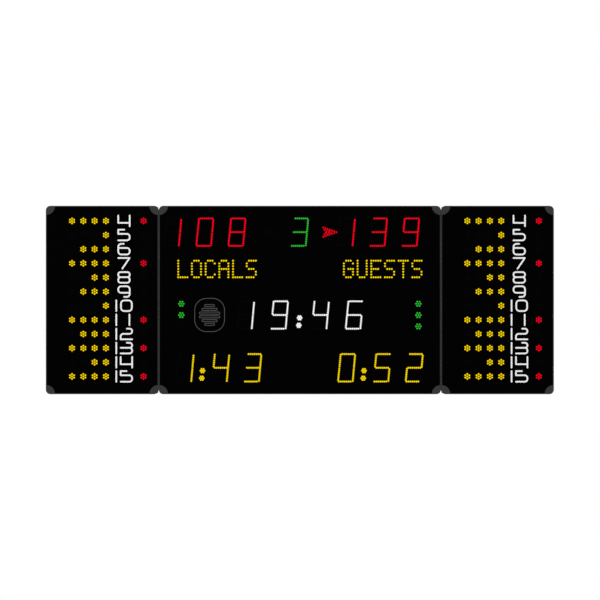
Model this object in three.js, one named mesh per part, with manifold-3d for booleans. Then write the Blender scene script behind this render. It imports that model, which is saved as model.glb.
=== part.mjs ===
// Electronic scoreboard for a sports hall, hung on a wall: a wide cabinet for scores, names and
// clock between two narrow cabinets for the players' fouls. Each cabinet is a shallow casing on
// the wall with a front that opens upward as a top-hinged door.
//
// Axes: +X to the right as seen from the front, +Z up, the front faces -Y, the wall is y = 0.
// The origin is the centre of the wall rail's back face. All lengths are millimetres.

import * as THREE from 'three';
import { mergeVertices } from 'three/addons/utils/BufferGeometryUtils.js';
import Module from 'manifold-3d';

const wasm = await Module();
wasm.setup();

// Cabinets, as outlines of their fronts
const CABINET_HEIGHT = 1250;
const MAIN_WIDTH = 1872;
const SIDE_WIDTH = 748;
const SEAM_GAP = 1.5;

// Clearances and cutting
const FIT_GAP = 0.3;
const CUT_OVERRUN = 2;

// Wall rail and the hooks that hang on it
const WALL_STANDOFF = 12;
const RAIL_TOP_DISTANCE = 90;
const RAIL_HEIGHT = 60;
const RAIL_SHEET = 3;
const RAIL_REACH = 9;
const RAIL_LIP = 16;
const RAIL_END_INSET = 100;
const RAIL_HOLE_RADIUS = 4.5;
const RAIL_HOLE_PLACE_SHARES = [-0.47, -0.34, -0.2, -0.07, 0.07, 0.2, 0.34, 0.47];
const HOOK_SHEET = 2.5;
const HOOK_LENGTH = 120;
const HOOK_PLACE_SHARE = 0.25;
const FOOT_WIDTH = 40;
const FOOT_HEIGHT = 60;
const FOOT_MARGIN = 20;

// Rear casing
const CASING_DEPTH = 34;
const CASING_SHEET = 1.5;
const CASING_INSET = 6;
const VENT_LENGTH = 70;
const VENT_HEIGHT = 6;
const VENT_PITCH = 16;
const VENT_ROWS = 3;
const VENT_PLACE_SHARES = [-0.36, 0.36];
const VENT_TOP_SHARE = 0.3;

// Door frame
const DOOR_DEPTH = 36;
const PROFILE_WALL = 2;
const RIM_WIDTH = 6.3;
const INNER_LIP = 10;
const BACK_FLANGE = 12;
const PANEL_THICKNESS = 4;
const CORNER_REACH = 61;
const OUTLINE_RADIUS = 30;
const TONGUE_LENGTH = 25;
const TONGUE_ROOT = 15;
const TONGUE_HEIGHT = 8;

// Hinge along the top: a bead on the door in a socket on the casing
const SOCKET_RADIUS = 8;
const BEAD_RADIUS = 5;
const NECK_THICKNESS = 3;
const NECK_MARGIN = 22;
const DOOR_OPENING = 70;
const HINGE_END_INSET = 64;

// Stays that prop the door open
const STAY_RADIUS = 400;
const STAY_WIDTH = 12;
const STAY_THICKNESS = 3;
const STAY_PIN_RADIUS = 3;
const STAY_HEAD_RADIUS = 5;
const STAY_HEAD_THICKNESS = 2;
const STAY_TAB_LENGTH = 24;
const STAY_TAB_OVERHANG = 6;
const STAY_SIDE_GAP = 0.5;
const TRACK_SHEET = 2;
const TRACK_END = 20;

// Quarter-turn locks in the door's bottom edge
const LOCK_BARREL_RADIUS = 9;
const LOCK_BARREL_LENGTH = 12;
const LOCK_FLANGE_RADIUS = 11;
const LOCK_FLANGE_THICKNESS = 2;
const LOCK_SPINDLE_RADIUS = 4;
const LOCK_SETBACK = 15.7;
const LOCK_PARKED_ANGLE = 90;
const KEY_RECESS_RADIUS = 5;
const KEY_RECESS_DEPTH = 5;
const HOOK_CAM_THICKNESS = 3;
const HOOK_CAM_ARM = 4;
const HOOK_CAM_TIP = 14;
const HOOK_CAM_TIP_WIDTH = 4;
const STRIKE_SHEET = 2;
const STRIKE_GAP = 0.5;
const STRIKE_SIDE = 7;
const STRIKE_WIDTH = 6;
const STRIKE_POST_DEPTH = 4;
const STRIKE_POST_HEIGHT = 7;
const CAM_GAP = 1;

// Displays: boards behind the face, light blocks in its windows, and raised light bars on them
const BOARD_THICKNESS = 1.6;
const BOARD_MARGIN = 1;
const SPINE_HALF_HEIGHT = 22;
const BLOCK_MARGIN = 2;
const BAR_RISE = 0.6;
const BLOCK_RECESS = 0.2;
const BAR_WIDTH = 14;
const DIGIT_SLANT_SHARE = 0.1;
const DIGIT_HEIGHT = 182;
const DIGIT_WIDTH = 97.5;
const DIGIT_SPACING = 213;
const COLON_SPACING = 236;
const CLOCK_SPACING = 225;
const CLOCK_COLON_SPACING = 271;
const COLON_TOP_DISTANCE = 19;
const COLON_BOTTOM_DISTANCE = 69;
const COLON_BOSS_RADIUS = 20;
const LAMP_BOSS_RADIUS = 25;
const LAMP_BLOCK_HALF = 27;
const MATRIX_PITCH_X = 15.1;
const MATRIX_PITCH_Z = 18.3;
const MATRIX_COLUMNS = 5;
const MATRIX_ROWS = 7;
const MATRIX_BORDER = 9.8;
const NAME_LETTERS = 6;
const NAME_SPACING = 90.9;
const TIMEOUT_LAMPS = 3;
const TIMEOUT_SPACING = 75;
const ARROW_LENGTH = 87;
const ARROW_HEIGHT = 62;
const ARROW_NOTCH = 16;
const ARROW_MARGIN = 1;
const ARROW_CLEARANCE = 5;
const FOUL_ROWS = 12;
const FOUL_ROW_SPACING = 93.8;
const FOUL_LAMPS = 4;
const FOUL_SPACING = 75;

// Places of the displays, as shares of the cabinet's width and height from its middle
const SCORE_ROW_SHARE = 0.3602;
const NAME_ROW_SHARE = 0.1646;
const CLOCK_ROW_SHARE = -0.0796;
const TIMER_ROW_SHARE = -0.3599;
const TIMEOUT_ROW_SHARE = -0.0802;
const HOME_SCORE_SHARE = -0.337;
const GUEST_SCORE_SHARE = 0.2786;
const NAME_SHARE = 0.2936;
const HOME_TIMER_SHARE = -0.281;
const GUEST_TIMER_SHARE = 0.2914;
const TIMEOUT_SHARE = 0.4202;
const HORN_SHARE = -0.3199;
const FOUL_COLUMN_SHARE = -0.1174;
const LAST_FOUL_SHARE = 0.367;
const FOUL_ROW_SHARE = 0.0072;

// Horn
const GRILLE_WIDTH = 203;
const GRILLE_HEIGHT = 226;
const GRILLE_CORNER = 55.5;
const GRILLE_FLANGE = 1.7;
const GRILLE_OVERLAP = 7;
const SKIRT_WALL = 4;
const SKIRT_DEPTH = 6;
const SLOT_HEIGHT = 11;
const SLOT_SPACING = 24.9;
const SLOT_LENGTHS = [62, 98, 133, 133, 98, 62];
const BAFFLE_THICKNESS = 3;
const BASKET_RADIUS = 70;
const BASKET_DEPTH = 19;
const BASKET_WALL = 2.5;
const MAGNET_RADIUS = 32;
const MAGNET_DEPTH = 7;
const CONE_SETBACK = 3;
const CONE_THROAT_RADIUS = 15;
const CONE_DEPTH = 8;
const CONE_SHEET = 2;

// Electrics in the main casing
const SUPPLY_WIDTH = 215;
const SUPPLY_HEIGHT = 115;
const SUPPLY_DEPTH = 28;
const SUPPLY_FLANGE = 14;
const TERMINAL_WIDTH = 150;
const TERMINAL_HEIGHT = 12;
const SUPPLY_PLACE_SHARE = 0.26;
const ELECTRICS_ROW_SHARE = -0.36;
const CONTROL_WIDTH = 220;
const CONTROL_HEIGHT = 140;
const CONTROL_STANDOFF = 8;
const CONTROL_FOOT = 8;
const CONTROL_PLACE_SHARE = -0.1;
const CHIP_WIDTH = 40;
const CHIP_RISE = 10;
const INLET_PLACE_SHARE = 0.36;
const INLET_WIDTH = 30;
const INLET_DEPTH = 20;
const INLET_LENGTH = 24;
const INLET_FLANGE_MARGIN = 4;
const INLET_FLANGE_THICKNESS = 2;
const INLET_CAVITY_DEPTH = 16;
const INLET_WALL = 2.5;
const BLADE_WIDTH = 4;
const BLADE_THICKNESS = 2;
const BLADE_LENGTH = 11;
const SWITCH_LENGTH = 21;
const SWITCH_WIDTH = 14;
const SWITCH_DEPTH = 12;
const SWITCH_GAP = 1;
const SWITCH_SPACING = 8;
const SWITCH_FACE = 4;
const SWITCH_DIP = 2;
const SWITCH_PIVOT_DEPTH = 3;
const SWITCH_PIN_RADIUS = 2;
const SWITCH_PIN_REACH = 1.5;
const SWITCH_ANGLE = 8;

// Link leads between the cabinets
const LINK_RADIUS = 6;
const LINK_PLUG_LENGTH = 34;
const LINK_PLUG_HEIGHT = 24;
const LINK_CLEARANCE = 91;

// Smoothness, in steps for a full circle or for a quarter arc
const PIN_STEPS = 8;
const HINGE_STEPS = 16;
const ROUND_STEPS = 16;
const ARC_STEPS = 4;
const REACH_STEPS = 6;

// Derived planes, from the wall to the front
const CASING_BACK_Y = -WALL_STANDOFF;
const CASING_FLOOR_Y = CASING_BACK_Y - CASING_SHEET;
const CASING_FRONT_Y = CASING_BACK_Y - CASING_DEPTH;
const DOOR_BACK_Y = CASING_FRONT_Y - FIT_GAP;
const DOOR_FRONT_Y = DOOR_BACK_Y - DOOR_DEPTH;
const PANEL_FRONT_Y = DOOR_FRONT_Y + PROFILE_WALL + FIT_GAP;
const PANEL_BACK_Y = PANEL_FRONT_Y + PANEL_THICKNESS;
const BOARD_FRONT_Y = PANEL_BACK_Y + FIT_GAP;
const BOARD_BACK_Y = BOARD_FRONT_Y + BOARD_THICKNESS;
const INNER_LIP_FRONT_Y = PANEL_BACK_Y + FIT_GAP;
const INNER_LIP_BACK_Y = INNER_LIP_FRONT_Y + PROFILE_WALL;
const BLOCK_FRONT_Y = PANEL_FRONT_Y + BLOCK_RECESS;
const HALF_HEIGHT = CABINET_HEIGHT / 2;
const CASING_TOP_Z = HALF_HEIGHT - CASING_INSET;
const HINGE_Y = CASING_FRONT_Y + SOCKET_RADIUS;
const HINGE_Z = CASING_TOP_Z - SOCKET_RADIUS;
const RAIL_CENTRE_Z = HALF_HEIGHT - RAIL_TOP_DISTANCE;
const LOCK_Y = DOOR_BACK_Y - LOCK_SETBACK;
const TRACK_LOWEST_Z = HINGE_Z - 2 * STAY_RADIUS;
const LINK_Y = (CASING_FLOOR_Y + CASING_FRONT_Y) / 2;
const LINK_Z = TRACK_LOWEST_Z - TRACK_END - LINK_CLEARANCE;
const SIDE_OFFSET = MAIN_WIDTH / 2 + SEAM_GAP + SIDE_WIDTH / 2;
const RAIL_LENGTH = 2 * (SIDE_OFFSET + SIDE_WIDTH / 2 - RAIL_END_INSET);

// Across the stay, inward from the door's outer face
const STAY_TAB_INNER = BACK_FLANGE;
const STAY_TAB_OUTER = BACK_FLANGE - STAY_THICKNESS;
const STAY_OUTER = STAY_TAB_INNER + STAY_SIDE_GAP;
const STAY_INNER = STAY_OUTER + STAY_THICKNESS;
const TRACK_OUTER = STAY_INNER + STAY_SIDE_GAP;
const TRACK_INNER = TRACK_OUTER + TRACK_SHEET;

// Basic solids

function solidOf(geometry) {
  const bare = geometry.clone();
  bare.deleteAttribute('normal');
  bare.deleteAttribute('uv');
  const merged = mergeVertices(bare);
  const index = merged.getIndex().array;
  const corners = [];
  for (let start = 0; start < index.length; start += 3) {
    const triangle = [index[start], index[start + 1], index[start + 2]];
    if (new Set(triangle).size === 3) corners.push(...triangle);
  }
  return new wasm.Manifold(new wasm.Mesh({
    numProp: 3,
    vertProperties: new Float32Array(merged.getAttribute('position').array),
    triVerts: new Uint32Array(corners),
  }));
}

function geometryOf(solid) {
  const mesh = solid.getMesh();
  const geometry = new THREE.BufferGeometry();
  geometry.setAttribute('position', new THREE.BufferAttribute(mesh.vertProperties, 3));
  geometry.setIndex(new THREE.BufferAttribute(mesh.triVerts, 1));
  geometry.computeVertexNormals();
  return geometry;
}

function joined(solids) {
  return solids.reduce((sum, solid) => sum.add(solid));
}

function cutBy(solid, tools) {
  return tools.length ? solid.subtract(joined(tools)) : solid;
}

// A box between two corners, with each pair of limits in either order
function block(x, y, z) {
  const size = [x, y, z].map((limits) => Math.abs(limits[1] - limits[0]));
  const centre = [x, y, z].map((limits) => (limits[0] + limits[1]) / 2);
  return solidOf(new THREE.BoxGeometry(...size).translate(...centre));
}

function outline(points) {
  return new THREE.Shape(points.map(([across, along]) => new THREE.Vector2(across, along)));
}

const EXTRUDE_ALONG_X = new THREE.Matrix4().makeBasis(
  new THREE.Vector3(0, 1, 0), new THREE.Vector3(0, 0, 1), new THREE.Vector3(1, 0, 0));
const EXTRUDE_ALONG_Y = new THREE.Matrix4().makeBasis(
  new THREE.Vector3(1, 0, 0), new THREE.Vector3(0, 0, 1), new THREE.Vector3(0, -1, 0));
const EXTRUDE_ALONG_Z = new THREE.Matrix4();

function extruded(shape, depth, basis, steps = ARC_STEPS) {
  const settings = { depth, bevelEnabled: false, curveSegments: steps };
  return new THREE.ExtrudeGeometry(shape, settings).applyMatrix4(basis);
}

// A section drawn in (y, z), between two places along X
function alongX(shape, xStart, xEnd) {
  return solidOf(extruded(shape, xEnd - xStart, EXTRUDE_ALONG_X).translate(xStart, 0, 0));
}

// A plate drawn in (x, z), from its back plane forward to its front plane
function plate(shape, backY, frontY) {
  return solidOf(extruded(shape, backY - frontY, EXTRUDE_ALONG_Y).translate(0, backY, 0));
}

// A plate with holes through it
function piercedPlate(shape, holes, backY, frontY) {
  const tools = holes.map((hole) => plate(hole, backY + CUT_OVERRUN, frontY - CUT_OVERRUN));
  return cutBy(plate(shape, backY, frontY), tools);
}

// A plan drawn in (x, y), between two heights
function alongZ(shape, zStart, zEnd) {
  return solidOf(extruded(shape, zEnd - zStart, EXTRUDE_ALONG_Z).translate(0, 0, zStart));
}

function arcPoints(centre, radius, start, end, steps) {
  return Array.from({ length: steps + 1 }, (_, index) => {
    const angle = THREE.MathUtils.degToRad(start + (end - start) * index / steps);
    return [centre[0] + radius * Math.cos(angle), centre[1] + radius * Math.sin(angle)];
  });
}

function circle(centre, radius, steps) {
  return outline(arcPoints(centre, radius, 0, 360, steps).slice(1));
}

function roundedRectangle(centre, halfWidth, halfHeight, radius, steps) {
  const [x, z] = centre;
  const quarters = [[1, 1, 0], [-1, 1, 90], [-1, -1, 180], [1, -1, 270]];
  return outline(quarters.flatMap(([signX, signZ, start]) => arcPoints(
    [x + signX * (halfWidth - radius), z + signZ * (halfHeight - radius)],
    radius, start, start + 90, steps)));
}

// A slot with round ends
function roundSlot(centre, length, height, steps) {
  const [x, z] = centre;
  const reach = (length - height) / 2;
  return outline([
    ...arcPoints([x + reach, z], height / 2, -90, 90, steps),
    ...arcPoints([x - reach, z], height / 2, 90, 270, steps),
  ]);
}

// A window or block outline whose sides lean with the digits
function leaningQuad({ x, z, halfWidth, halfHeight, slant }, growth = 0) {
  const wide = halfWidth + growth;
  const tall = halfHeight + growth;
  const corners = [[-wide, -tall], [wide, -tall], [wide, tall], [-wide, tall]];
  return outline(corners.map(([u, v]) => [x + u + slant * v, z + v]));
}

function addPart(parent, name, geometry, material) {
  const mesh = new THREE.Mesh(geometry, material);
  mesh.name = name;
  parent.add(mesh);
  return mesh;
}

// Materials

const finish = (color, roughness, metalness) =>
  new THREE.MeshStandardMaterial({ color, roughness, metalness });
const casingPaint = finish(0x26272a, 0.6, 0.3);
const framePaint = finish(0x39393b, 0.5, 0.4);
const cornerPlastic = finish(0x363637, 0.6, 0);
const facePlastic = finish(0x050505, 0.7, 0);
const boardPlastic = finish(0x141414, 0.6, 0);
const grillePlastic = finish(0x1a1a1b, 0.6, 0);
const steel = finish(0x9a9da0, 0.35, 1);
const zinc = finish(0xb4b6b8, 0.3, 1);
const conePaper = finish(0x202020, 0.9, 0);
const boardGreen = finish(0x1d4a30, 0.6, 0);
const switchPlastic = finish(0x111111, 0.4, 0);
const leadRubber = finish(0x151515, 0.8, 0);

// Wall rail: a flat strip with a shelf and an upturned lip

function wallRail() {
  const half = RAIL_HEIGHT / 2;
  const section = outline([
    [0, -half], [0, half], [-RAIL_REACH + RAIL_SHEET, half],
    [-RAIL_REACH + RAIL_SHEET, half + RAIL_LIP], [-RAIL_REACH, half + RAIL_LIP],
    [-RAIL_REACH, half - RAIL_SHEET], [-RAIL_SHEET, half - RAIL_SHEET], [-RAIL_SHEET, -half],
  ]);
  const holes = RAIL_HOLE_PLACE_SHARES.map((share) => plate(
    circle([share * RAIL_LENGTH, -half / 2], RAIL_HOLE_RADIUS, PIN_STEPS),
    CUT_OVERRUN, -RAIL_SHEET - CUT_OVERRUN));
  return geometryOf(cutBy(alongX(section, -RAIL_LENGTH / 2, RAIL_LENGTH / 2), holes));
}

// Rear casing: a folded tray with its hinge socket, wall hooks, feet, stay tracks and strikes

function hookSection() {
  const lipTop = RAIL_CENTRE_Z + RAIL_HEIGHT / 2 + RAIL_LIP + FIT_GAP;
  const lipFront = -RAIL_REACH + RAIL_SHEET + FIT_GAP;
  return outline([
    [CASING_FLOOR_Y, lipTop], [lipFront, lipTop],
    [lipFront, lipTop - RAIL_LIP + HOOK_SHEET], [lipFront + HOOK_SHEET, lipTop - RAIL_LIP + HOOK_SHEET],
    [lipFront + HOOK_SHEET, lipTop + HOOK_SHEET], [CASING_FLOOR_Y, lipTop + HOOK_SHEET],
  ]);
}

function socketSection() {
  const start = 180 + NECK_MARGIN - 360;
  const end = 180 - DOOR_OPENING - NECK_MARGIN;
  const centre = [HINGE_Y, HINGE_Z];
  const inner = (BEAD_RADIUS + FIT_GAP) / Math.cos(Math.PI / HINGE_STEPS);
  return outline([
    ...arcPoints(centre, SOCKET_RADIUS, start, end, HINGE_STEPS),
    ...arcPoints(centre, inner, end, start, HINGE_STEPS),
  ]);
}

function sideWall(x, thickness) {
  const section = outline([
    [CASING_BACK_Y, -CASING_TOP_Z], [CASING_BACK_Y, CASING_TOP_Z], [HINGE_Y, CASING_TOP_Z],
    [CASING_FRONT_Y, HINGE_Z], [CASING_FRONT_Y, -CASING_TOP_Z],
  ]);
  return alongX(section, Math.min(x, x + thickness), Math.max(x, x + thickness));
}

// Upright plate in which a stay's lower pin slides
function stayTrack(width, side) {
  const highest = HINGE_Z - 2 * STAY_RADIUS * Math.cos(THREE.MathUtils.degToRad(DOOR_OPENING));
  const across = (overrun) => [
    side * (width / 2 - TRACK_OUTER + overrun), side * (width / 2 - TRACK_INNER - overrun)];
  const along = (margin) => [TRACK_LOWEST_Z - margin, highest + margin];
  const room = STAY_PIN_RADIUS + FIT_GAP;
  const web = block(across(0), [CASING_BACK_Y, CASING_FRONT_Y + FIT_GAP], along(TRACK_END));
  return web.subtract(block(across(CUT_OVERRUN), [HINGE_Y - room, HINGE_Y + room], along(room)));
}

// Bracket with a post for the lock's hook
function strike(x) {
  const floorZ = -CASING_TOP_Z + CASING_SHEET;
  const lowZ = -HALF_HEIGHT + BACK_FLANGE + STRIKE_GAP;
  const topZ = lowZ + STRIKE_SHEET;
  const postFront = LOCK_Y + HOOK_CAM_ARM + CAM_GAP;
  const postBack = postFront + STRIKE_POST_DEPTH;
  const riserFront = CASING_FRONT_Y + FIT_GAP + STRIKE_SHEET;
  const across = [x + STRIKE_SIDE, x + STRIKE_SIDE + STRIKE_WIDTH];
  return joined([
    block(across, [riserFront, riserFront + STRIKE_SHEET], [floorZ - CASING_SHEET, topZ]),
    block(across, [postFront, riserFront + STRIKE_SHEET], [lowZ, topZ]),
    block(across, [postFront, postBack], [lowZ, topZ + STRIKE_POST_HEIGHT]),
  ]);
}

function vents(width) {
  return VENT_PLACE_SHARES.flatMap((share) => Array.from({ length: VENT_ROWS }, (_, row) => block(
    [share * width - VENT_LENGTH / 2, share * width + VENT_LENGTH / 2],
    [CASING_BACK_Y + CUT_OVERRUN, CASING_FLOOR_Y - CUT_OVERRUN],
    [VENT_TOP_SHARE * CABINET_HEIGHT - row * VENT_PITCH,
      VENT_TOP_SHARE * CABINET_HEIGHT - row * VENT_PITCH - VENT_HEIGHT])));
}

function linkHole(width, side) {
  const wallX = side * (width / 2 - CASING_INSET);
  const hole = circle([LINK_Y, LINK_Z], LINK_RADIUS + FIT_GAP, PIN_STEPS);
  return alongX(hole, wallX - CASING_SHEET - CUT_OVERRUN, wallX + CASING_SHEET + CUT_OVERRUN);
}

function casing(cabinet) {
  const { width, stays, lockPlaceShares, linkSides } = cabinet;
  const halfX = width / 2 - CASING_INSET;
  const hingeHalf = width / 2 - HINGE_END_INSET;
  const topFloor = CASING_TOP_Z - CASING_SHEET;
  const solids = [
    block([-halfX, halfX], [CASING_FLOOR_Y, CASING_BACK_Y], [-CASING_TOP_Z, CASING_TOP_Z]),
    block([-halfX, halfX], [CASING_FRONT_Y, CASING_BACK_Y], [-CASING_TOP_Z, -CASING_TOP_Z + CASING_SHEET]),
    block([-halfX, halfX], [HINGE_Y, CASING_BACK_Y], [topFloor, CASING_TOP_Z]),
    sideWall(-halfX, CASING_SHEET),
    sideWall(halfX, -CASING_SHEET),
    alongX(socketSection(), -hingeHalf, hingeHalf),
    ...stays.map((side) => stayTrack(width, side)),
    ...lockPlaceShares.map((share) => strike(share * width)),
  ];
  for (const side of [-1, 1]) {
    const hookX = side * HOOK_PLACE_SHARE * width;
    solids.push(alongX(hookSection(), hookX - HOOK_LENGTH / 2, hookX + HOOK_LENGTH / 2));
    solids.push(block([hookX - FOOT_WIDTH / 2, hookX + FOOT_WIDTH / 2], [0, CASING_FLOOR_Y],
      [-CASING_TOP_Z + FOOT_MARGIN, -CASING_TOP_Z + FOOT_MARGIN + FOOT_HEIGHT]));
  }
  const cuts = [...vents(width), ...linkSides.map((side) => linkHole(width, side))];
  if (cabinet.electrics) cuts.push(inletHole(width));
  return geometryOf(cutBy(joined(solids), cuts));
}

// Door frame: one profile section for all four sides, drawn with the outer face at z = 0

function frameSection() {
  const [back, front] = [DOOR_BACK_Y, DOOR_FRONT_Y];
  const [lipFront, lipBack] = [INNER_LIP_FRONT_Y, INNER_LIP_BACK_Y];
  return outline([
    [back, 0], [front, 0], [front, RIM_WIDTH], [front + PROFILE_WALL, RIM_WIDTH],
    [front + PROFILE_WALL, PROFILE_WALL], [lipFront, PROFILE_WALL], [lipFront, INNER_LIP],
    [lipBack, INNER_LIP], [lipBack, PROFILE_WALL], [back - PROFILE_WALL, PROFILE_WALL],
    [back - PROFILE_WALL, BACK_FLANGE], [back, BACK_FLANGE],
  ]);
}

function profileBody(length) {
  const half = length / 2 - CORNER_REACH - FIT_GAP;
  return alongX(frameSection(), -half, half);
}

function plainProfile(length) {
  return geometryOf(profileBody(length));
}

// The top profile carries the hinge bead; it is drawn upside down like the others
function hingeProfile(length) {
  const drop = HALF_HEIGHT - HINGE_Z;
  const beadHalf = length / 2 - HINGE_END_INSET;
  const bead = alongX(circle([HINGE_Y, drop], BEAD_RADIUS, HINGE_STEPS), -beadHalf, beadHalf);
  const half = length / 2 - CORNER_REACH - FIT_GAP;
  const flange = block([-half, half], [DOOR_BACK_Y, DOOR_BACK_Y - PROFILE_WALL],
    [PROFILE_WALL / 2, drop + BACK_FLANGE / 2]);
  const neck = block([-beadHalf, beadHalf], [DOOR_BACK_Y - PROFILE_WALL / 2, HINGE_Y],
    [drop - NECK_THICKNESS / 2, drop + NECK_THICKNESS / 2]);
  return geometryOf(joined([profileBody(length), flange, neck, bead]));
}

// A side profile, with the tab that a stay turns on
function sideProfile(length, side, hasStay) {
  if (!hasStay) return plainProfile(length);
  const place = side * (HINGE_Z - STAY_RADIUS);
  const tab = block([place - STAY_TAB_LENGTH / 2, place + STAY_TAB_LENGTH / 2],
    [DOOR_BACK_Y - PROFILE_WALL, HINGE_Y + STAY_TAB_OVERHANG], [STAY_TAB_OUTER, STAY_TAB_INNER]);
  const hole = alongZ(circle([place, HINGE_Y], STAY_PIN_RADIUS + FIT_GAP, PIN_STEPS),
    STAY_TAB_OUTER - CUT_OVERRUN, STAY_TAB_INNER + CUT_OVERRUN);
  return geometryOf(profileBody(length).add(tab).subtract(hole));
}

// The bottom profile, with a hole for each lock's barrel
function lockProfile(length, lockPlaces) {
  const hole = (x) => circle([x, LOCK_Y], LOCK_BARREL_RADIUS + FIT_GAP, ROUND_STEPS);
  const holes = lockPlaces.map((x) => alongZ(hole(x), -CUT_OVERRUN, PROFILE_WALL + CUT_OVERRUN));
  return geometryOf(cutBy(profileBody(length), holes));
}

// A corner piece: quarter-disc plates back and front, a curved wall and two tongues

function cornerPiece() {
  const centre = [OUTLINE_RADIUS, OUTLINE_RADIUS];
  const outer = arcPoints(centre, OUTLINE_RADIUS, 270, 180, ARC_STEPS);
  const inner = arcPoints(centre, OUTLINE_RADIUS - PROFILE_WALL, 180, 270, ARC_STEPS);
  const quarterDisc = outline([...outer, ...arcPoints([0, 0], CORNER_REACH, 90, 0, REACH_STEPS)]);
  const wallSection = outline([
    [CORNER_REACH, 0], ...outer, [0, CORNER_REACH], [PROFILE_WALL, CORNER_REACH],
    ...inner, [CORNER_REACH, PROFILE_WALL],
  ]);
  const tongueBack = DOOR_BACK_Y - PROFILE_WALL - FIT_GAP;
  const tongueFront = INNER_LIP_BACK_Y + FIT_GAP;
  const low = PROFILE_WALL + FIT_GAP;
  const rootStart = CORNER_REACH - TONGUE_ROOT;
  const reach = [rootStart, CORNER_REACH + TONGUE_LENGTH];
  const height = [low, low + TONGUE_HEIGHT];
  const root = [PROFILE_WALL / 2, low + TONGUE_HEIGHT];
  const depth = [tongueBack, tongueFront];
  return geometryOf(joined([
    plate(quarterDisc, DOOR_FRONT_Y + PROFILE_WALL, DOOR_FRONT_Y),
    plate(quarterDisc, DOOR_BACK_Y, DOOR_BACK_Y - PROFILE_WALL),
    plate(wallSection, DOOR_BACK_Y, DOOR_FRONT_Y),
    block([rootStart, CORNER_REACH], depth, root),
    block(reach, depth, height),
    block(root, depth, [rootStart, CORNER_REACH]),
    block(height, depth, reach),
  ]));
}

// Face sheet, with a window for each light block

function facePanel(width, blocks, cutouts) {
  const half = width / 2 - PROFILE_WALL - FIT_GAP;
  const tall = HALF_HEIGHT - PROFILE_WALL - FIT_GAP;
  const radius = OUTLINE_RADIUS - PROFILE_WALL - FIT_GAP;
  const sheet = roundedRectangle([0, 0], half, tall, radius, ARC_STEPS);
  const windows = blocks.map((item) => leaningQuad(item, FIT_GAP));
  return geometryOf(piercedPlate(sheet, [...windows, ...cutouts], PANEL_BACK_Y, PANEL_FRONT_Y));
}

// Displays: each group has blocks that fill windows, and raised outlines on them

const DIGIT_HALF_WIDE = DIGIT_WIDTH / 2;
const DIGIT_HALF_TALL = DIGIT_HEIGHT / 2;
const DIGIT_BLOCK_HALF = DIGIT_HALF_WIDE + BAR_WIDTH / 2 + BLOCK_MARGIN;

function leaningOutline(centre, slant, points) {
  return outline(points.map(([u, v]) => [centre[0] + u + slant * v, centre[1] + v]));
}

function chamfered(wide, tall, chamfer) {
  return [
    [wide, chamfer - tall], [wide, tall - chamfer], [wide - chamfer, tall], [chamfer - wide, tall],
    [-wide, tall - chamfer], [-wide, chamfer - tall], [chamfer - wide, -tall], [wide - chamfer, -tall],
  ];
}

function digit(x, z) {
  const bar = BAR_WIDTH / 2;
  const outer = chamfered(DIGIT_HALF_WIDE + bar, DIGIT_HALF_TALL + bar, bar);
  const wide = DIGIT_HALF_WIDE - bar;
  const holes = [[bar - DIGIT_HALF_TALL, -bar], [bar, DIGIT_HALF_TALL - bar]].map(([low, high]) =>
    leaningOutline([x, z], DIGIT_SLANT_SHARE, [[-wide, low], [wide, low], [wide, high], [-wide, high]]));
  return {
    block: {
      x, z, slant: DIGIT_SLANT_SHARE,
      halfWidth: DIGIT_BLOCK_HALF,
      halfHeight: DIGIT_HALF_TALL + bar + BLOCK_MARGIN,
    },
    reliefs: [{ shape: leaningOutline([x, z], DIGIT_SLANT_SHARE, outer), holes }],
  };
}

function boss(x, z, radius, firstAngle) {
  return { shape: outline(arcPoints([x, z], radius, firstAngle, firstAngle + 360, 6).slice(1)), holes: [] };
}

function colon(x, z) {
  const middle = (COLON_TOP_DISTANCE + COLON_BOTTOM_DISTANCE) / 2;
  const drops = [COLON_TOP_DISTANCE, COLON_BOTTOM_DISTANCE];
  return {
    block: {
      x: x - DIGIT_SLANT_SHARE * middle, z: z - middle, slant: DIGIT_SLANT_SHARE,
      halfWidth: COLON_BOSS_RADIUS + BLOCK_MARGIN,
      halfHeight: (COLON_BOTTOM_DISTANCE - COLON_TOP_DISTANCE) / 2 + COLON_BOSS_RADIUS + BLOCK_MARGIN,
    },
    reliefs: drops.map((drop) => boss(x - DIGIT_SLANT_SHARE * drop, z - drop, COLON_BOSS_RADIUS, 0)),
  };
}

function letter(x, z) {
  return {
    block: {
      x, z, slant: 0,
      halfWidth: (MATRIX_COLUMNS - 1) * MATRIX_PITCH_X / 2 + MATRIX_BORDER,
      halfHeight: (MATRIX_ROWS - 1) * MATRIX_PITCH_Z / 2 + MATRIX_BORDER,
    },
    reliefs: [],
  };
}

function arrow(x, z, side) {
  const tip = ARROW_LENGTH / 2;
  const points = [[tip, 0], [-tip, ARROW_HEIGHT / 2], [ARROW_NOTCH - tip, 0], [-tip, -ARROW_HEIGHT / 2]];
  return {
    block: {
      x, z, slant: 0,
      halfWidth: ARROW_LENGTH / 2 + ARROW_MARGIN,
      halfHeight: ARROW_HEIGHT / 2 + ARROW_MARGIN,
    },
    reliefs: [{ shape: outline(points.map(([u, v]) => [x + side * u, z + v])), holes: [] }],
  };
}

// A straight row or column of round lamps in one block
function lampLine(x, z, count, stepX, stepZ, firstAngle) {
  const places = Array.from({ length: count }, (_, index) => {
    const step = index - (count - 1) / 2;
    return [x + step * stepX, z + step * stepZ];
  });
  return {
    block: {
      x, z, slant: 0,
      halfWidth: (count - 1) * stepX / 2 + LAMP_BLOCK_HALF,
      halfHeight: (count - 1) * stepZ / 2 + LAMP_BLOCK_HALF,
    },
    reliefs: places.map(([lampX, lampZ]) => boss(lampX, lampZ, LAMP_BOSS_RADIUS, firstAngle)),
  };
}

function threeDigits(x, z, firstSpacing) {
  return [digit(x - firstSpacing, z), digit(x, z), digit(x + DIGIT_SPACING, z)];
}

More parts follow.
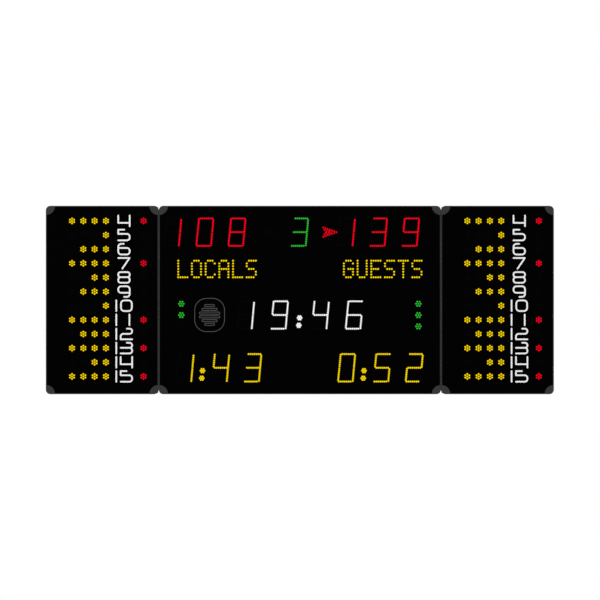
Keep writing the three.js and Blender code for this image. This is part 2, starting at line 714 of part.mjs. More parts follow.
function timer(x, z) {
  return [...threeDigits(x, z, COLON_SPACING), colon(x - COLON_SPACING / 2, z)];
}

function clock(z) {
  const near = CLOCK_COLON_SPACING / 2;
  const far = near + CLOCK_SPACING;
  return [...[-far, -near, near, far].map((x) => digit(x, z)), colon(0, z)];
}

function nameLine(x, z) {
  return Array.from({ length: NAME_LETTERS }, (_, index) =>
    letter(x + (index - (NAME_LETTERS - 1) / 2) * NAME_SPACING, z));
}

// The arrows stand close to the scores, so their place follows the guest score's first digit
function periodGroup(z) {
  const firstDigit = GUEST_SCORE_SHARE * MAIN_WIDTH - DIGIT_SPACING;
  const lean = DIGIT_SLANT_SHARE * ARROW_HEIGHT / 2;
  const side = firstDigit - DIGIT_BLOCK_HALF - lean - ARROW_CLEARANCE - ARROW_LENGTH / 2;
  return [arrow(-side, z, -1), digit(0, z), arrow(side, z, 1)];
}

function timeoutColumn(x, z) {
  return [lampLine(x, z, TIMEOUT_LAMPS, 0, TIMEOUT_SPACING, 0)];
}

function foulField() {
  const z = FOUL_ROW_SHARE * CABINET_HEIGHT;
  return Array.from({ length: FOUL_ROWS }, (_, row) => {
    const rowZ = z + ((FOUL_ROWS - 1) / 2 - row) * FOUL_ROW_SPACING;
    return [
      lampLine(FOUL_COLUMN_SHARE * SIDE_WIDTH, rowZ, FOUL_LAMPS, FOUL_SPACING, 0, 30),
      lampLine(LAST_FOUL_SHARE * SIDE_WIDTH, rowZ, 1, 0, 0, 30),
    ];
  }).flat();
}

function mainDisplays() {
  const scoreZ = SCORE_ROW_SHARE * CABINET_HEIGHT;
  const nameZ = NAME_ROW_SHARE * CABINET_HEIGHT;
  const clockZ = CLOCK_ROW_SHARE * CABINET_HEIGHT;
  const timerZ = TIMER_ROW_SHARE * CABINET_HEIGHT;
  const timeoutZ = TIMEOUT_ROW_SHARE * CABINET_HEIGHT;
  return {
    home_score_board: threeDigits(HOME_SCORE_SHARE * MAIN_WIDTH, scoreZ, DIGIT_SPACING),
    guest_score_board: threeDigits(GUEST_SCORE_SHARE * MAIN_WIDTH, scoreZ, DIGIT_SPACING),
    period_board: periodGroup(scoreZ),
    home_name_board: nameLine(-NAME_SHARE * MAIN_WIDTH, nameZ),
    guest_name_board: nameLine(NAME_SHARE * MAIN_WIDTH, nameZ),
    clock_board: clock(clockZ),
    home_timeout_board: timeoutColumn(-TIMEOUT_SHARE * MAIN_WIDTH, timeoutZ),
    guest_timeout_board: timeoutColumn(TIMEOUT_SHARE * MAIN_WIDTH, timeoutZ),
    home_timer_board: timer(HOME_TIMER_SHARE * MAIN_WIDTH, timerZ),
    guest_timer_board: timer(GUEST_TIMER_SHARE * MAIN_WIDTH, timerZ),
  };
}

// The board behind two neighbouring blocks, from the middle of one to the middle of the next
function spine(first, second) {
  const high = Math.max(first.z, second.z) + SPINE_HALF_HEIGHT;
  const low = Math.min(first.z, second.z) - SPINE_HALF_HEIGHT;
  return block([first.x, second.x], [BOARD_FRONT_Y, BOARD_BACK_Y], [low, high]);
}

// A row of blocks stands on a board that follows them; a field of many stands on one rectangle
function boardBacking(blocks) {
  if (blocks.length <= NAME_LETTERS) {
    return [
      ...blocks.slice(1).map((item, index) => spine(blocks[index], item)),
      ...blocks.map((item) => plate(leaningQuad(item, BOARD_MARGIN), BOARD_BACK_Y, BOARD_FRONT_Y)),
    ];
  }
  const across = blocks.flatMap((item) => [item.x - item.halfWidth, item.x + item.halfWidth]);
  const upward = blocks.flatMap((item) => [item.z - item.halfHeight, item.z + item.halfHeight]);
  return [block(
    [Math.min(...across) - BOARD_MARGIN, Math.max(...across) + BOARD_MARGIN], [BOARD_FRONT_Y, BOARD_BACK_Y],
    [Math.min(...upward) - BOARD_MARGIN, Math.max(...upward) + BOARD_MARGIN])];
}

function displayBoard(items) {
  const solids = boardBacking(items.map((item) => item.block));
  for (const item of items) {
    solids.push(plate(leaningQuad(item.block), BOARD_BACK_Y, BLOCK_FRONT_Y));
    for (const { shape, holes } of item.reliefs) {
      solids.push(piercedPlate(shape, holes, BLOCK_FRONT_Y + BAR_RISE, BLOCK_FRONT_Y - BAR_RISE));
    }
  }
  return geometryOf(joined(solids));
}

// Horn: a grille through the face, a driver on its skirt and a cone that moves

const HORN_X = HORN_SHARE * MAIN_WIDTH;
const HORN_Z = CLOCK_ROW_SHARE * CABINET_HEIGHT;
const SKIRT_BACK_Y = PANEL_FRONT_Y - FIT_GAP + SKIRT_DEPTH;
const BAFFLE_FRONT_Y = SKIRT_BACK_Y + FIT_GAP;
const BAFFLE_BACK_Y = BAFFLE_FRONT_Y + BAFFLE_THICKNESS;

function hornOutline(inset) {
  return roundedRectangle([HORN_X, HORN_Z], GRILLE_WIDTH / 2 - inset, GRILLE_HEIGHT / 2 - inset,
    GRILLE_CORNER - inset, ARC_STEPS);
}

function hornGrille() {
  const flangeBack = PANEL_FRONT_Y - FIT_GAP;
  const slots = SLOT_LENGTHS.map((length, index) => {
    const z = HORN_Z + ((SLOT_LENGTHS.length - 1) / 2 - index) * SLOT_SPACING;
    return roundSlot([HORN_X, z], length, SLOT_HEIGHT, ARC_STEPS);
  });
  const skirtOuter = hornOutline(GRILLE_OVERLAP + FIT_GAP);
  const skirtInner = hornOutline(GRILLE_OVERLAP + FIT_GAP + SKIRT_WALL);
  const skirt = piercedPlate(skirtOuter, [skirtInner], SKIRT_BACK_Y, flangeBack - GRILLE_FLANGE / 2);
  const flange = piercedPlate(hornOutline(0), slots, flangeBack, flangeBack - GRILLE_FLANGE);
  return geometryOf(flange.add(skirt));
}

// Turned about the horn's axis; a profile point is (radius, depth behind the baffle's front)
function turned(profile) {
  const points = profile.map(([radius, depth]) => new THREE.Vector2(radius, depth));
  return solidOf(new THREE.LatheGeometry(points, ROUND_STEPS).translate(HORN_X, BAFFLE_FRONT_Y, HORN_Z));
}

function hornDriver() {
  const inner = BASKET_RADIUS - BASKET_WALL;
  const mouth = circle([HORN_X, HORN_Z], (inner + BASKET_RADIUS) / 2, ROUND_STEPS);
  const baffle = piercedPlate(hornOutline(GRILLE_OVERLAP + FIT_GAP), [mouth], BAFFLE_BACK_Y, BAFFLE_FRONT_Y);
  const basket = turned([
    [0, BASKET_DEPTH - BASKET_WALL], [inner, BASKET_DEPTH - BASKET_WALL], [inner, 0],
    [BASKET_RADIUS, 0], [BASKET_RADIUS, BASKET_DEPTH], [MAGNET_RADIUS, BASKET_DEPTH],
    [MAGNET_RADIUS, BASKET_DEPTH + MAGNET_DEPTH], [0, BASKET_DEPTH + MAGNET_DEPTH],
  ]);
  return geometryOf(baffle.add(basket));
}

function hornCone() {
  const rim = BASKET_RADIUS - BASKET_WALL - FIT_GAP;
  const bottom = CONE_SETBACK + CONE_DEPTH;
  return geometryOf(turned([
    [0, bottom], [CONE_THROAT_RADIUS, bottom], [rim, CONE_SETBACK], [rim, CONE_SETBACK + CONE_SHEET],
    [CONE_THROAT_RADIUS, bottom + CONE_SHEET], [0, bottom + CONE_SHEET],
  ]));
}

// Stay: a flat arm between two pins, drawn round its upper pin

function stay(side) {
  const half = STAY_WIDTH / 2;
  const between = (...limits) => limits.map((inward) => side * (STAY_OUTER - inward))
    .sort((first, second) => first - second);
  const bar = outline([
    ...arcPoints([0, 0], half, 0, 180, ARC_STEPS),
    ...arcPoints([0, -STAY_RADIUS], half, 180, 360, ARC_STEPS),
  ]);
  const pin = (z, radius, limits) => alongX(circle([0, z], radius, PIN_STEPS), ...limits);
  const headStart = TRACK_INNER + STAY_SIDE_GAP;
  return geometryOf(joined([
    alongX(bar, ...between(STAY_OUTER, STAY_INNER)),
    pin(0, STAY_PIN_RADIUS, between(STAY_TAB_OUTER - STAY_SIDE_GAP, STAY_INNER)),
    pin(-STAY_RADIUS, STAY_PIN_RADIUS, between(STAY_OUTER, headStart + STAY_HEAD_THICKNESS)),
    pin(-STAY_RADIUS, STAY_HEAD_RADIUS, between(headStart, headStart + STAY_HEAD_THICKNESS)),
  ]));
}

// Lock: a barrel with a key recess, a flange, a spindle and a hooked cam, drawn in the locked
// position round its own axis, with z = 0 on the door's underside

function lock() {
  const flangeStart = PROFILE_WALL + FIT_GAP;
  const camStart = BACK_FLANGE + STRIKE_GAP + STRIKE_SHEET + CAM_GAP;
  const camEnd = camStart + HOOK_CAM_THICKNESS;
  const tipStart = HOOK_CAM_ARM + CAM_GAP + STRIKE_POST_DEPTH + CAM_GAP;
  const tipEnd = tipStart + HOOK_CAM_TIP_WIDTH;
  const hook = outline([
    [-HOOK_CAM_ARM, 0], [HOOK_CAM_ARM, 0], [HOOK_CAM_ARM, tipStart], [HOOK_CAM_TIP, tipStart],
    [HOOK_CAM_TIP, tipEnd], [-HOOK_CAM_ARM, tipEnd],
  ]);
  const round = (radius, low, high, steps) => alongZ(circle([0, 0], radius, steps), low, high);
  const recess = round(KEY_RECESS_RADIUS, -CUT_OVERRUN, KEY_RECESS_DEPTH, 3);
  return geometryOf(joined([
    round(LOCK_BARREL_RADIUS, 0, LOCK_BARREL_LENGTH, ROUND_STEPS),
    round(LOCK_FLANGE_RADIUS, flangeStart, flangeStart + LOCK_FLANGE_THICKNESS, ROUND_STEPS),
    round(LOCK_SPINDLE_RADIUS, LOCK_BARREL_LENGTH / 2, camEnd, PIN_STEPS),
    alongZ(hook, camStart, camEnd),
  ]).subtract(recess));
}

// Power supply: a box with two screw flanges and a lowered end for its terminals

function powerSupply() {
  const backY = CASING_FLOOR_Y - FIT_GAP;
  const half = SUPPLY_WIDTH / 2;
  const tall = SUPPLY_HEIGHT / 2;
  const terminalTop = TERMINAL_HEIGHT - tall;
  const body = block([-half, half], [backY, backY - SUPPLY_DEPTH], [terminalTop, tall]);
  const wide = half + SUPPLY_FLANGE;
  const floor = block([-wide, wide], [backY, backY - CASING_SHEET], [-tall, tall]);
  const terminals = block([-TERMINAL_WIDTH / 2, TERMINAL_WIDTH / 2],
    [backY, backY - SUPPLY_DEPTH / 2], [-tall, terminalTop + TERMINAL_HEIGHT / 2]);
  return geometryOf(joined([floor, body, terminals]));
}

// Control board: a circuit board on four feet, with a row of chips

function controlBoard() {
  const backY = CASING_FLOOR_Y - FIT_GAP;
  const boardY = backY - CONTROL_STANDOFF;
  const half = CONTROL_WIDTH / 2;
  const tall = CONTROL_HEIGHT / 2;
  const solids = [block([-half, half], [boardY, boardY - BOARD_THICKNESS], [-tall, tall])];
  for (const [signX, signZ] of [[-1, -1], [1, -1], [1, 1], [-1, 1]]) {
    solids.push(block(
      [signX * half, signX * (half - CONTROL_FOOT)], [backY, boardY - BOARD_THICKNESS / 2],
      [signZ * tall, signZ * (tall - CONTROL_FOOT)]));
  }
  for (const step of [-1, 0, 1]) {
    const x = step * (CHIP_WIDTH + CONTROL_FOOT);
    solids.push(block([x - CHIP_WIDTH / 2, x + CHIP_WIDTH / 2],
      [boardY, boardY - BOARD_THICKNESS - CHIP_RISE], [-CHIP_WIDTH / 2, CHIP_WIDTH / 2]));
  }
  return geometryOf(joined(solids));
}

// Mains inlet and switch housing, drawn round the inlet's axis with z = 0 on the casing's underside

const SWITCH_X = INLET_WIDTH / 2 + SWITCH_SPACING + SWITCH_LENGTH / 2;
const SWITCH_PIVOT_Z = SWITCH_PIVOT_DEPTH - FIT_GAP - INLET_FLANGE_THICKNESS;
const HOUSING_END = SWITCH_X + SWITCH_LENGTH / 2 + SWITCH_GAP + INLET_WALL;

function inletHole(width) {
  const x = INLET_PLACE_SHARE * width;
  const half = INLET_DEPTH / 2 + FIT_GAP;
  return block([x - INLET_WIDTH / 2 - FIT_GAP, x + HOUSING_END + FIT_GAP], [LINK_Y - half, LINK_Y + half],
    [-CASING_TOP_Z - CUT_OVERRUN, -CASING_TOP_Z + CASING_SHEET + CUT_OVERRUN]);
}

function mainsInlet() {
  const half = INLET_DEPTH / 2;
  const start = -INLET_WIDTH / 2;
  const face = -FIT_GAP - INLET_FLANGE_THICKNESS;
  const margin = INLET_FLANGE_MARGIN;
  const cavityHalf = INLET_WIDTH / 2 - INLET_WALL;
  const cavityTop = face + INLET_CAVITY_DEPTH;
  const housing = [
    block([start, HOUSING_END], [-half, half], [face, INLET_LENGTH]),
    block([start - margin, HOUSING_END + margin], [-half - margin, half + margin], [face, -FIT_GAP]),
  ];
  const switchHalf = SWITCH_LENGTH / 2 + SWITCH_GAP;
  const switchWide = SWITCH_WIDTH / 2 + SWITCH_GAP;
  const pinReach = SWITCH_WIDTH / 2 + SWITCH_GAP + SWITCH_PIN_REACH + FIT_GAP;
  const cavities = [
    block([-cavityHalf, cavityHalf], [INLET_WALL - half, half - INLET_WALL], [face - CUT_OVERRUN, cavityTop]),
    block([SWITCH_X - switchHalf, SWITCH_X + switchHalf], [-switchWide, switchWide],
      [face - CUT_OVERRUN, face + SWITCH_DEPTH]),
    plate(circle([SWITCH_X, SWITCH_PIVOT_Z], SWITCH_PIN_RADIUS + FIT_GAP, PIN_STEPS), pinReach, -pinReach),
  ];
  const blades = [-1, 0, 1].map((step) => {
    const x = step * cavityHalf / 2;
    return block([x - BLADE_THICKNESS / 2, x + BLADE_THICKNESS / 2], [-BLADE_WIDTH / 2, BLADE_WIDTH / 2],
      [cavityTop - BLADE_LENGTH, cavityTop + INLET_WALL / 2]);
  });
  return geometryOf(joined([cutBy(joined(housing), cavities), ...blades]));
}

// Rocker, drawn level round its pins
function powerSwitch() {
  const half = SWITCH_LENGTH / 2;
  const wide = SWITCH_WIDTH / 2;
  const section = outline([
    [-half, -SWITCH_FACE], [0, SWITCH_DIP - SWITCH_FACE], [half, -SWITCH_FACE],
    [half - SWITCH_DIP, SWITCH_FACE], [SWITCH_DIP - half, SWITCH_FACE],
  ]);
  const pinReach = wide + SWITCH_GAP + SWITCH_PIN_REACH;
  return geometryOf(plate(section, wide, -wide).add(
    plate(circle([0, 0], SWITCH_PIN_RADIUS, PIN_STEPS), pinReach, -pinReach)));
}

// Link lead through the walls of two neighbouring casings, with a plug at each end

function linkLead(side) {
  const mainWall = MAIN_WIDTH / 2 - CASING_INSET - CASING_SHEET;
  const sideWallX = MAIN_WIDTH / 2 + SEAM_GAP + CASING_INSET + CASING_SHEET;
  const half = LINK_PLUG_HEIGHT / 2;
  const plug = (wall, away) => block(
    [FIT_GAP, LINK_PLUG_LENGTH].map((reach) => side * (wall + away * reach)),
    [LINK_Y - half, LINK_Y + half], [LINK_Z - half, LINK_Z + half]);
  const ends = [side * (mainWall - LINK_PLUG_LENGTH / 2), side * (sideWallX + LINK_PLUG_LENGTH / 2)];
  const lead = alongX(circle([LINK_Y, LINK_Z], LINK_RADIUS, PIN_STEPS), Math.min(...ends), Math.max(...ends));
  return geometryOf(joined([lead, plug(mainWall, -1), plug(sideWallX, 1)]));
}

// Assembly

const cabinets = [
  { name: 'main', width: MAIN_WIDTH, centreX: 0, stays: [-1, 1], linkSides: [-1, 1],
    lockPlaceShares: [-0.25, 0.25], electrics: true },
  { name: 'left', width: SIDE_WIDTH, centreX: -SIDE_OFFSET, stays: [-1], linkSides: [1],
    lockPlaceShares: [0], electrics: false },
  { name: 'right', width: SIDE_WIDTH, centreX: SIDE_OFFSET, stays: [1], linkSides: [-1],
    lockPlaceShares: [0], electrics: false },
];

function sideName(side) {
  return side < 0 ? 'left' : 'right';
}

// With one stay or lock a cabinet's own name is enough; with two, the side is added
function pieceName(cabinet, count, side, piece) {
  return count > 1 ? `${cabinet.name}_${sideName(side)}_${piece}` : `${cabinet.name}_${piece}`;
}

function addFrame(door, cabinet) {
  const { name, width, stays, lockPlaceShares } = cabinet;
  const profiles = [
    { part: 'bottom_profile', turn: 0, x: 0, z: -HALF_HEIGHT,
      geometry: lockProfile(width, lockPlaceShares.map((share) => share * width)) },
    { part: 'right_profile', turn: -90, x: width / 2, z: 0,
      geometry: sideProfile(CABINET_HEIGHT, 1, stays.includes(1)) },
    { part: 'top_profile', turn: 180, x: 0, z: HALF_HEIGHT, geometry: hingeProfile(width) },
    { part: 'left_profile', turn: 90, x: -width / 2, z: 0,
      geometry: sideProfile(CABINET_HEIGHT, -1, stays.includes(-1)) },
  ];
  for (const { part, turn, x, z, geometry } of profiles) {
    const mesh = addPart(door, `${name}_${part}`, geometry, framePaint);
    mesh.position.set(x, 0, z);
    mesh.rotation.y = THREE.MathUtils.degToRad(turn);
  }
  const corners = [
    ['bottom_left_corner', 0, -1, -1], ['bottom_right_corner', -90, 1, -1],
    ['top_right_corner', 180, 1, 1], ['top_left_corner', 90, -1, 1],
  ];
  for (const [part, turn, signX, signZ] of corners) {
    const mesh = addPart(door, `${name}_${part}`, cornerPiece(), cornerPlastic);
    mesh.position.set(signX * width / 2, 0, signZ * HALF_HEIGHT);
    mesh.rotation.y = THREE.MathUtils.degToRad(turn);
  }
}

function addStaysAndLocks(door, cabinet) {
  const { width, stays, lockPlaceShares } = cabinet;
  for (const side of stays) {
    const mesh = addPart(door, pieceName(cabinet, stays.length, side, 'stay'), stay(side), zinc);
    mesh.position.set(side * (width / 2 - STAY_OUTER), HINGE_Y, HINGE_Z - STAY_RADIUS);
  }
  for (const share of lockPlaceShares) {
    const mesh = addPart(door, pieceName(cabinet, lockPlaceShares.length, share, 'lock'), lock(), zinc);
    mesh.position.set(share * width, LOCK_Y, -HALF_HEIGHT);
    mesh.rotation.z = THREE.MathUtils.degToRad(LOCK_PARKED_ANGLE);
  }
}

function addHorn(door) {
  addPart(door, 'horn_grille', hornGrille(), grillePlastic);
  addPart(door, 'horn_driver', hornDriver(), steel);
  addPart(door, 'horn_cone', hornCone(), conePaper);
}

function addElectrics(cabinetGroup) {
  const rowZ = ELECTRICS_ROW_SHARE * CABINET_HEIGHT;
  const inletX = INLET_PLACE_SHARE * MAIN_WIDTH;
  addPart(cabinetGroup, 'power_supply', powerSupply(), steel)
    .position.set(SUPPLY_PLACE_SHARE * MAIN_WIDTH, 0, rowZ);
  addPart(cabinetGroup, 'control_board', controlBoard(), boardGreen)
    .position.set(CONTROL_PLACE_SHARE * MAIN_WIDTH, 0, rowZ);
  addPart(cabinetGroup, 'mains_inlet', mainsInlet(), switchPlastic)
    .position.set(inletX, LINK_Y, -CASING_TOP_Z);
  const rocker = addPart(cabinetGroup, 'power_switch', powerSwitch(), switchPlastic);
  rocker.position.set(inletX + SWITCH_X, LINK_Y, SWITCH_PIVOT_Z - CASING_TOP_Z);
  rocker.rotation.y = THREE.MathUtils.degToRad(SWITCH_ANGLE);
  for (const side of [-1, 1]) {
    addPart(cabinetGroup, `${sideName(side)}_link_lead`, linkLead(side), leadRubber);
  }
}

function addCabinet(board, cabinet, displays) {
  const cabinetGroup = new THREE.Group();
  cabinetGroup.position.x = cabinet.centreX;
  board.add(cabinetGroup);
  addPart(cabinetGroup, `${cabinet.name}_casing`, casing(cabinet), casingPaint);
  const door = new THREE.Group();
  cabinetGroup.add(door);
  addFrame(door, cabinet);
  addStaysAndLocks(door, cabinet);
  const blocks = Object.values(displays).flat().map((item) => item.block);
  const cutouts = cabinet.electrics ? [hornOutline(GRILLE_OVERLAP)] : [];
  addPart(door, `${cabinet.name}_face_panel`, facePanel(cabinet.width, blocks, cutouts), facePlastic);
  for (const [name, items] of Object.entries(displays)) {
    addPart(door, name, displayBoard(items), boardPlastic);
  }
  if (cabinet.electrics) {
    addHorn(door);
    addElectrics(cabinetGroup);
  }
}

const board = new THREE.Group();
const cabinetSet = new THREE.Group();
cabinetSet.position.z = -RAIL_CENTRE_Z;
board.add(cabinetSet);
addPart(board, 'wall_rail', wallRail(), steel);
for (const cabinet of cabinets) {
  const displays = cabinet.electrics ? mainDisplays() : { [`${cabinet.name}_foul_board`]: foulField() };
  addCabinet(cabinetSet, cabinet, displays);
}

export default board;
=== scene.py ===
# %% [markdown]
# # An electronic scoreboard for a sports hall
#
# A wide cabinet hangs between two narrow ones. Each has a shallow steel casing on the wall and a
# front that swings up like a bonnet: an aluminium frame, a black face sheet, and displays made of
# single LED lenses. The shapes that move and carry load come from the CAD model, and this script
# adds what the eye looks for: lenses, printed numbers, moulded corners, screws, looms and finishes.
#
# The first step loads that model as a fixed frame. Everything is in metres, +Z is up, the front
# faces -Y, and the wall is the plane y = 0.

import math
import random

import bmesh
import bpy
from mathutils import Matrix, Vector


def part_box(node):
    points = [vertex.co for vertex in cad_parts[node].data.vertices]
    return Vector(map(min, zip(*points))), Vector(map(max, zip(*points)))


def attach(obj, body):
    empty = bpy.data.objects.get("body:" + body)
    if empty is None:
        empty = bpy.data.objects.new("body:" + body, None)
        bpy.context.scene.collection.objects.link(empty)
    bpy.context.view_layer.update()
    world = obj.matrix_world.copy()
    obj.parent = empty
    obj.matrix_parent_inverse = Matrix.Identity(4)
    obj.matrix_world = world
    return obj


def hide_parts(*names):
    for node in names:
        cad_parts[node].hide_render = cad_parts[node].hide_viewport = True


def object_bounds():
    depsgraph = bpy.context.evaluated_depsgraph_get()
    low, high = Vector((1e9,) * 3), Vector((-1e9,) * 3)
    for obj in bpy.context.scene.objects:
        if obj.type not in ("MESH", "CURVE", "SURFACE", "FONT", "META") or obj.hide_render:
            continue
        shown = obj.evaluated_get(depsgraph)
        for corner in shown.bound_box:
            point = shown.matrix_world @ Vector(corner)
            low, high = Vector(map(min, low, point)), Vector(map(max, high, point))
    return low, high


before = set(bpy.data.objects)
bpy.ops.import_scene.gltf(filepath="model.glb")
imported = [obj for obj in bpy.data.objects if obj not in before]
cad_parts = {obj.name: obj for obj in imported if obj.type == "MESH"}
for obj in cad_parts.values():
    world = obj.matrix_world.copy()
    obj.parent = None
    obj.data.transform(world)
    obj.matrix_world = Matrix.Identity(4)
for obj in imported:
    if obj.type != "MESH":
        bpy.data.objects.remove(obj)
cad_box = [list(corner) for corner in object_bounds()]

# %% [markdown]
# ## The camera
#
# The photograph is taken square on from far away, so the sides of the cabinets don't show. A short
# lens close by would splay them. A long lens from more than twenty metres keeps the outline
# straight and is still a real perspective, which makes the other views look natural.

# %% Place the camera
MM = 0.001
MM_PER_PIXEL = 6.635
PICTURE_SIDE, PICTURE_SHIFT = 600, 0.15
BOARD_CENTRE = Vector((0, 0, -0.535))
CABINET_Z = BOARD_CENTRE.z / MM
FRONT_Y = cad_box[0][1]
scene = bpy.context.scene


def place_object(name, data):
    made = bpy.data.objects.new(name, data)
    scene.collection.objects.link(made)
    return made


camera_data = bpy.data.cameras.new("camera")
camera_data.lens, camera_data.sensor_width, camera_data.clip_end = 200, 36, 100
camera = scene.camera = place_object("camera", camera_data)
view_width = PICTURE_SIDE * MM_PER_PIXEL * MM
camera_distance = view_width * camera_data.lens / camera_data.sensor_width
camera.location = BOARD_CENTRE + Vector(
    (PICTURE_SHIFT * MM_PER_PIXEL * MM, FRONT_Y - camera_distance, 0))
camera.rotation_euler = (math.radians(90), 0, 0)
print(f"camera {camera_distance:.1f} m in front of the face, {view_width:.3f} m wide view")

# %% [markdown]
# ## Tools for node trees
#
# The world, the finishes and the repeated pieces are all made of nodes. Clicking them together by
# hand is fine for one material. Here almost forty finishes share the same few effects, so small
# helpers add a node, give it numbers or join it to others by name, and the recipes stay readable.

# %% Helpers for nodes
FLOAT, VECTOR = "NodeSocketFloat", "NodeSocketVector"


def wire(tree, source, target):
    """Joins an output, or a node's first one, to an input, or writes a plain value there."""
    source = source.outputs[0] if hasattr(source, "outputs") else source
    if hasattr(source, "is_output"):
        tree.links.new(source, target)
    else:
        target.default_value = source


def add_node(tree, kind, **values):
    """Adds a node; each value or output goes to the setting or the socket of that name."""
    made = tree.nodes.new(kind)
    for key, value in values.items():
        if hasattr(made, key):
            setattr(made, key, value)
        else:
            wire(tree, value, made.inputs[key.replace("_", " ")])
    return made


def calculate(tree, operation, first, second=0.0, clamp=False):
    """One Math node; gives its output."""
    made = add_node(tree, "ShaderNodeMath", operation=operation, use_clamp=clamp)
    wire(tree, first, made.inputs[0])
    wire(tree, second, made.inputs[1])
    return made.outputs[0]


def vector_node(tree, operation, first, second=None):
    """One Vector Math node; gives its outputs."""
    made = add_node(tree, "ShaderNodeVectorMath", operation=operation)
    wire(tree, first, made.inputs[0])
    if second is not None:
        wire(tree, second, made.inputs[1])
    return made.outputs


def blend_colours(tree, share, first, second):
    """Mixes two colours by a mask; gives the colour output."""
    made = add_node(tree, "ShaderNodeMix", data_type="RGBA")
    wire(tree, share, made.inputs[0])
    for colour, socket in ((first, made.inputs[6]), (second, made.inputs[7])):
        wire(tree, colour if hasattr(colour, "is_output") else (*colour, 1.0), socket)
    return made.outputs[2]


print("node helpers ready")

# %% Helpers for groups and materials
def shader_group(name, inputs, outputs):
    """An empty group; gives the tree, the sockets that come in and those that go out."""
    tree = bpy.data.node_groups.new(name, "ShaderNodeTree")
    for title, kind, value in inputs:
        socket = tree.interface.new_socket(title, in_out="INPUT", socket_type=kind)
        if value is not None:
            socket.default_value = value
    for title, kind in outputs:
        tree.interface.new_socket(title, in_out="OUTPUT", socket_type=kind)
    return tree, tree.nodes.new("NodeGroupInput").outputs, tree.nodes.new("NodeGroupOutput").inputs


def group_node(tree, group, **values):
    """Puts a group in a material; gives its outputs."""
    return add_node(tree, "ShaderNodeGroup", node_tree=group, **values).outputs


def start_finish(name, colour, roughness, metallic=0.0, specular=0.5):
    """A material with its shader's own values set; gives the material, its tree and its shader."""
    material = bpy.data.materials.new(name)
    material.use_nodes = True
    material.diffuse_color = (*colour, 1)
    shader = material.node_tree.nodes["Principled BSDF"]
    shader.inputs["Base Color"].default_value = (*colour, 1)
    shader.inputs["Roughness"].default_value = roughness
    shader.inputs["Metallic"].default_value = metallic
    shader.inputs["Specular IOR Level"].default_value = specular
    return material, material.node_tree, shader


print("group and material helpers ready")

# %% [markdown]
# ## Floor, light and background
#
# The board hangs high in a white nothing. The world is white where the camera or a reflection sees
# it, through Light Path, and a quieter grey where it only lights the object. Two broad lamps in
# front give the light a direction, so that rims and lenses get a soft gradient, and a third lights
# the back. The floor lies at the height of a real hall floor under such a board, below the
# picture. Its underside is clear, so that the board can also be looked at from far below.

# %% Set the view and the world
scene.view_settings.view_transform = "Standard"
AMBIENT_LEVEL = 0.5
WHITE = (1, 1, 1, 1)

world = scene.world = bpy.data.worlds.new("white_studio")
world.use_nodes = True
world_tree = world.node_tree
world_tree.nodes.clear()
lighting = add_node(world_tree, "ShaderNodeBackground", Color=WHITE, Strength=AMBIENT_LEVEL)
backdrop = add_node(world_tree, "ShaderNodeBackground", Color=WHITE, Strength=1)
rays = add_node(world_tree, "ShaderNodeLightPath").outputs
seen = calculate(world_tree, "MAXIMUM", rays["Is Camera Ray"], rays["Is Glossy Ray"])
seen = calculate(world_tree, "MAXIMUM", seen, rays["Is Transmission Ray"])
chooser = add_node(world_tree, "ShaderNodeMixShader", Fac=seen)
wire(world_tree, lighting, chooser.inputs[1])
wire(world_tree, backdrop, chooser.inputs[2])
add_node(world_tree, "ShaderNodeOutputWorld", Surface=chooser)
print("world: white for the eye,", AMBIENT_LEVEL, "as a light")

# %% Hang the lamps
LAMP_SIZE = 4.0
LAMPS = {"key_softbox": ((-4.5, -6.0, 3.2), 215), "fill_softbox": ((5.0, -6.5, 0.6), 115),
         "back_softbox": ((0.5, 5.5, 3.0), 170)}
for name, (place, power) in LAMPS.items():
    light = bpy.data.lights.new(name, "AREA")
    light.size, light.energy = LAMP_SIZE, power
    softbox = place_object(name, light)
    softbox.location = place
    softbox.rotation_euler = (BOARD_CENTRE - Vector(place)).to_track_quat("-Z", "Y").to_euler()
print(len(LAMPS), "softboxes hung, each facing the middle of the board")

# %% Lay the floor
FLOOR_Z = -3.4
FLOOR_HALF = 9.0
floor_mesh = bpy.data.meshes.new("hall_floor")
floor_corners = [(x * FLOOR_HALF, y * FLOOR_HALF, FLOOR_Z)
                 for x, y in ((-1, -1), (1, -1), (1, 1), (-1, 1))]
floor_mesh.from_pydata(floor_corners, [], [range(4)])
hall_floor = place_object("hall_floor", floor_mesh)
floor_paint, floor_tree, floor_shader = start_finish("floor_paint", (0.82, 0.82, 0.82), 0.9)
underside = add_node(floor_tree, "ShaderNodeNewGeometry").outputs["Backfacing"]
floor_mix = add_node(floor_tree, "ShaderNodeMixShader", Fac=underside)
wire(floor_tree, floor_shader, floor_mix.inputs[1])
wire(floor_tree, add_node(floor_tree, "ShaderNodeBsdfTransparent"), floor_mix.inputs[2])
wire(floor_tree, floor_mix, floor_tree.nodes["Material Output"].inputs["Surface"])
floor_mesh.materials.append(floor_paint)
print("floor laid", round(BOARD_CENTRE.z - FLOOR_Z, 2), "m below the board's middle")

# %% [markdown]
# ## Effects that several finishes share
#
# Powder coat, moulded plastic and rubber differ in colour, but all have a fine grain, a slow
# unevenness, lighter edges where hands and cloths rub, and dust on what faces up. Each of these is
# a node group, built once. The edge mask compares the real normal with the one that the Bevel node
# gives: they differ only near an edge, also on CAD meshes whose triangles aren't joined.

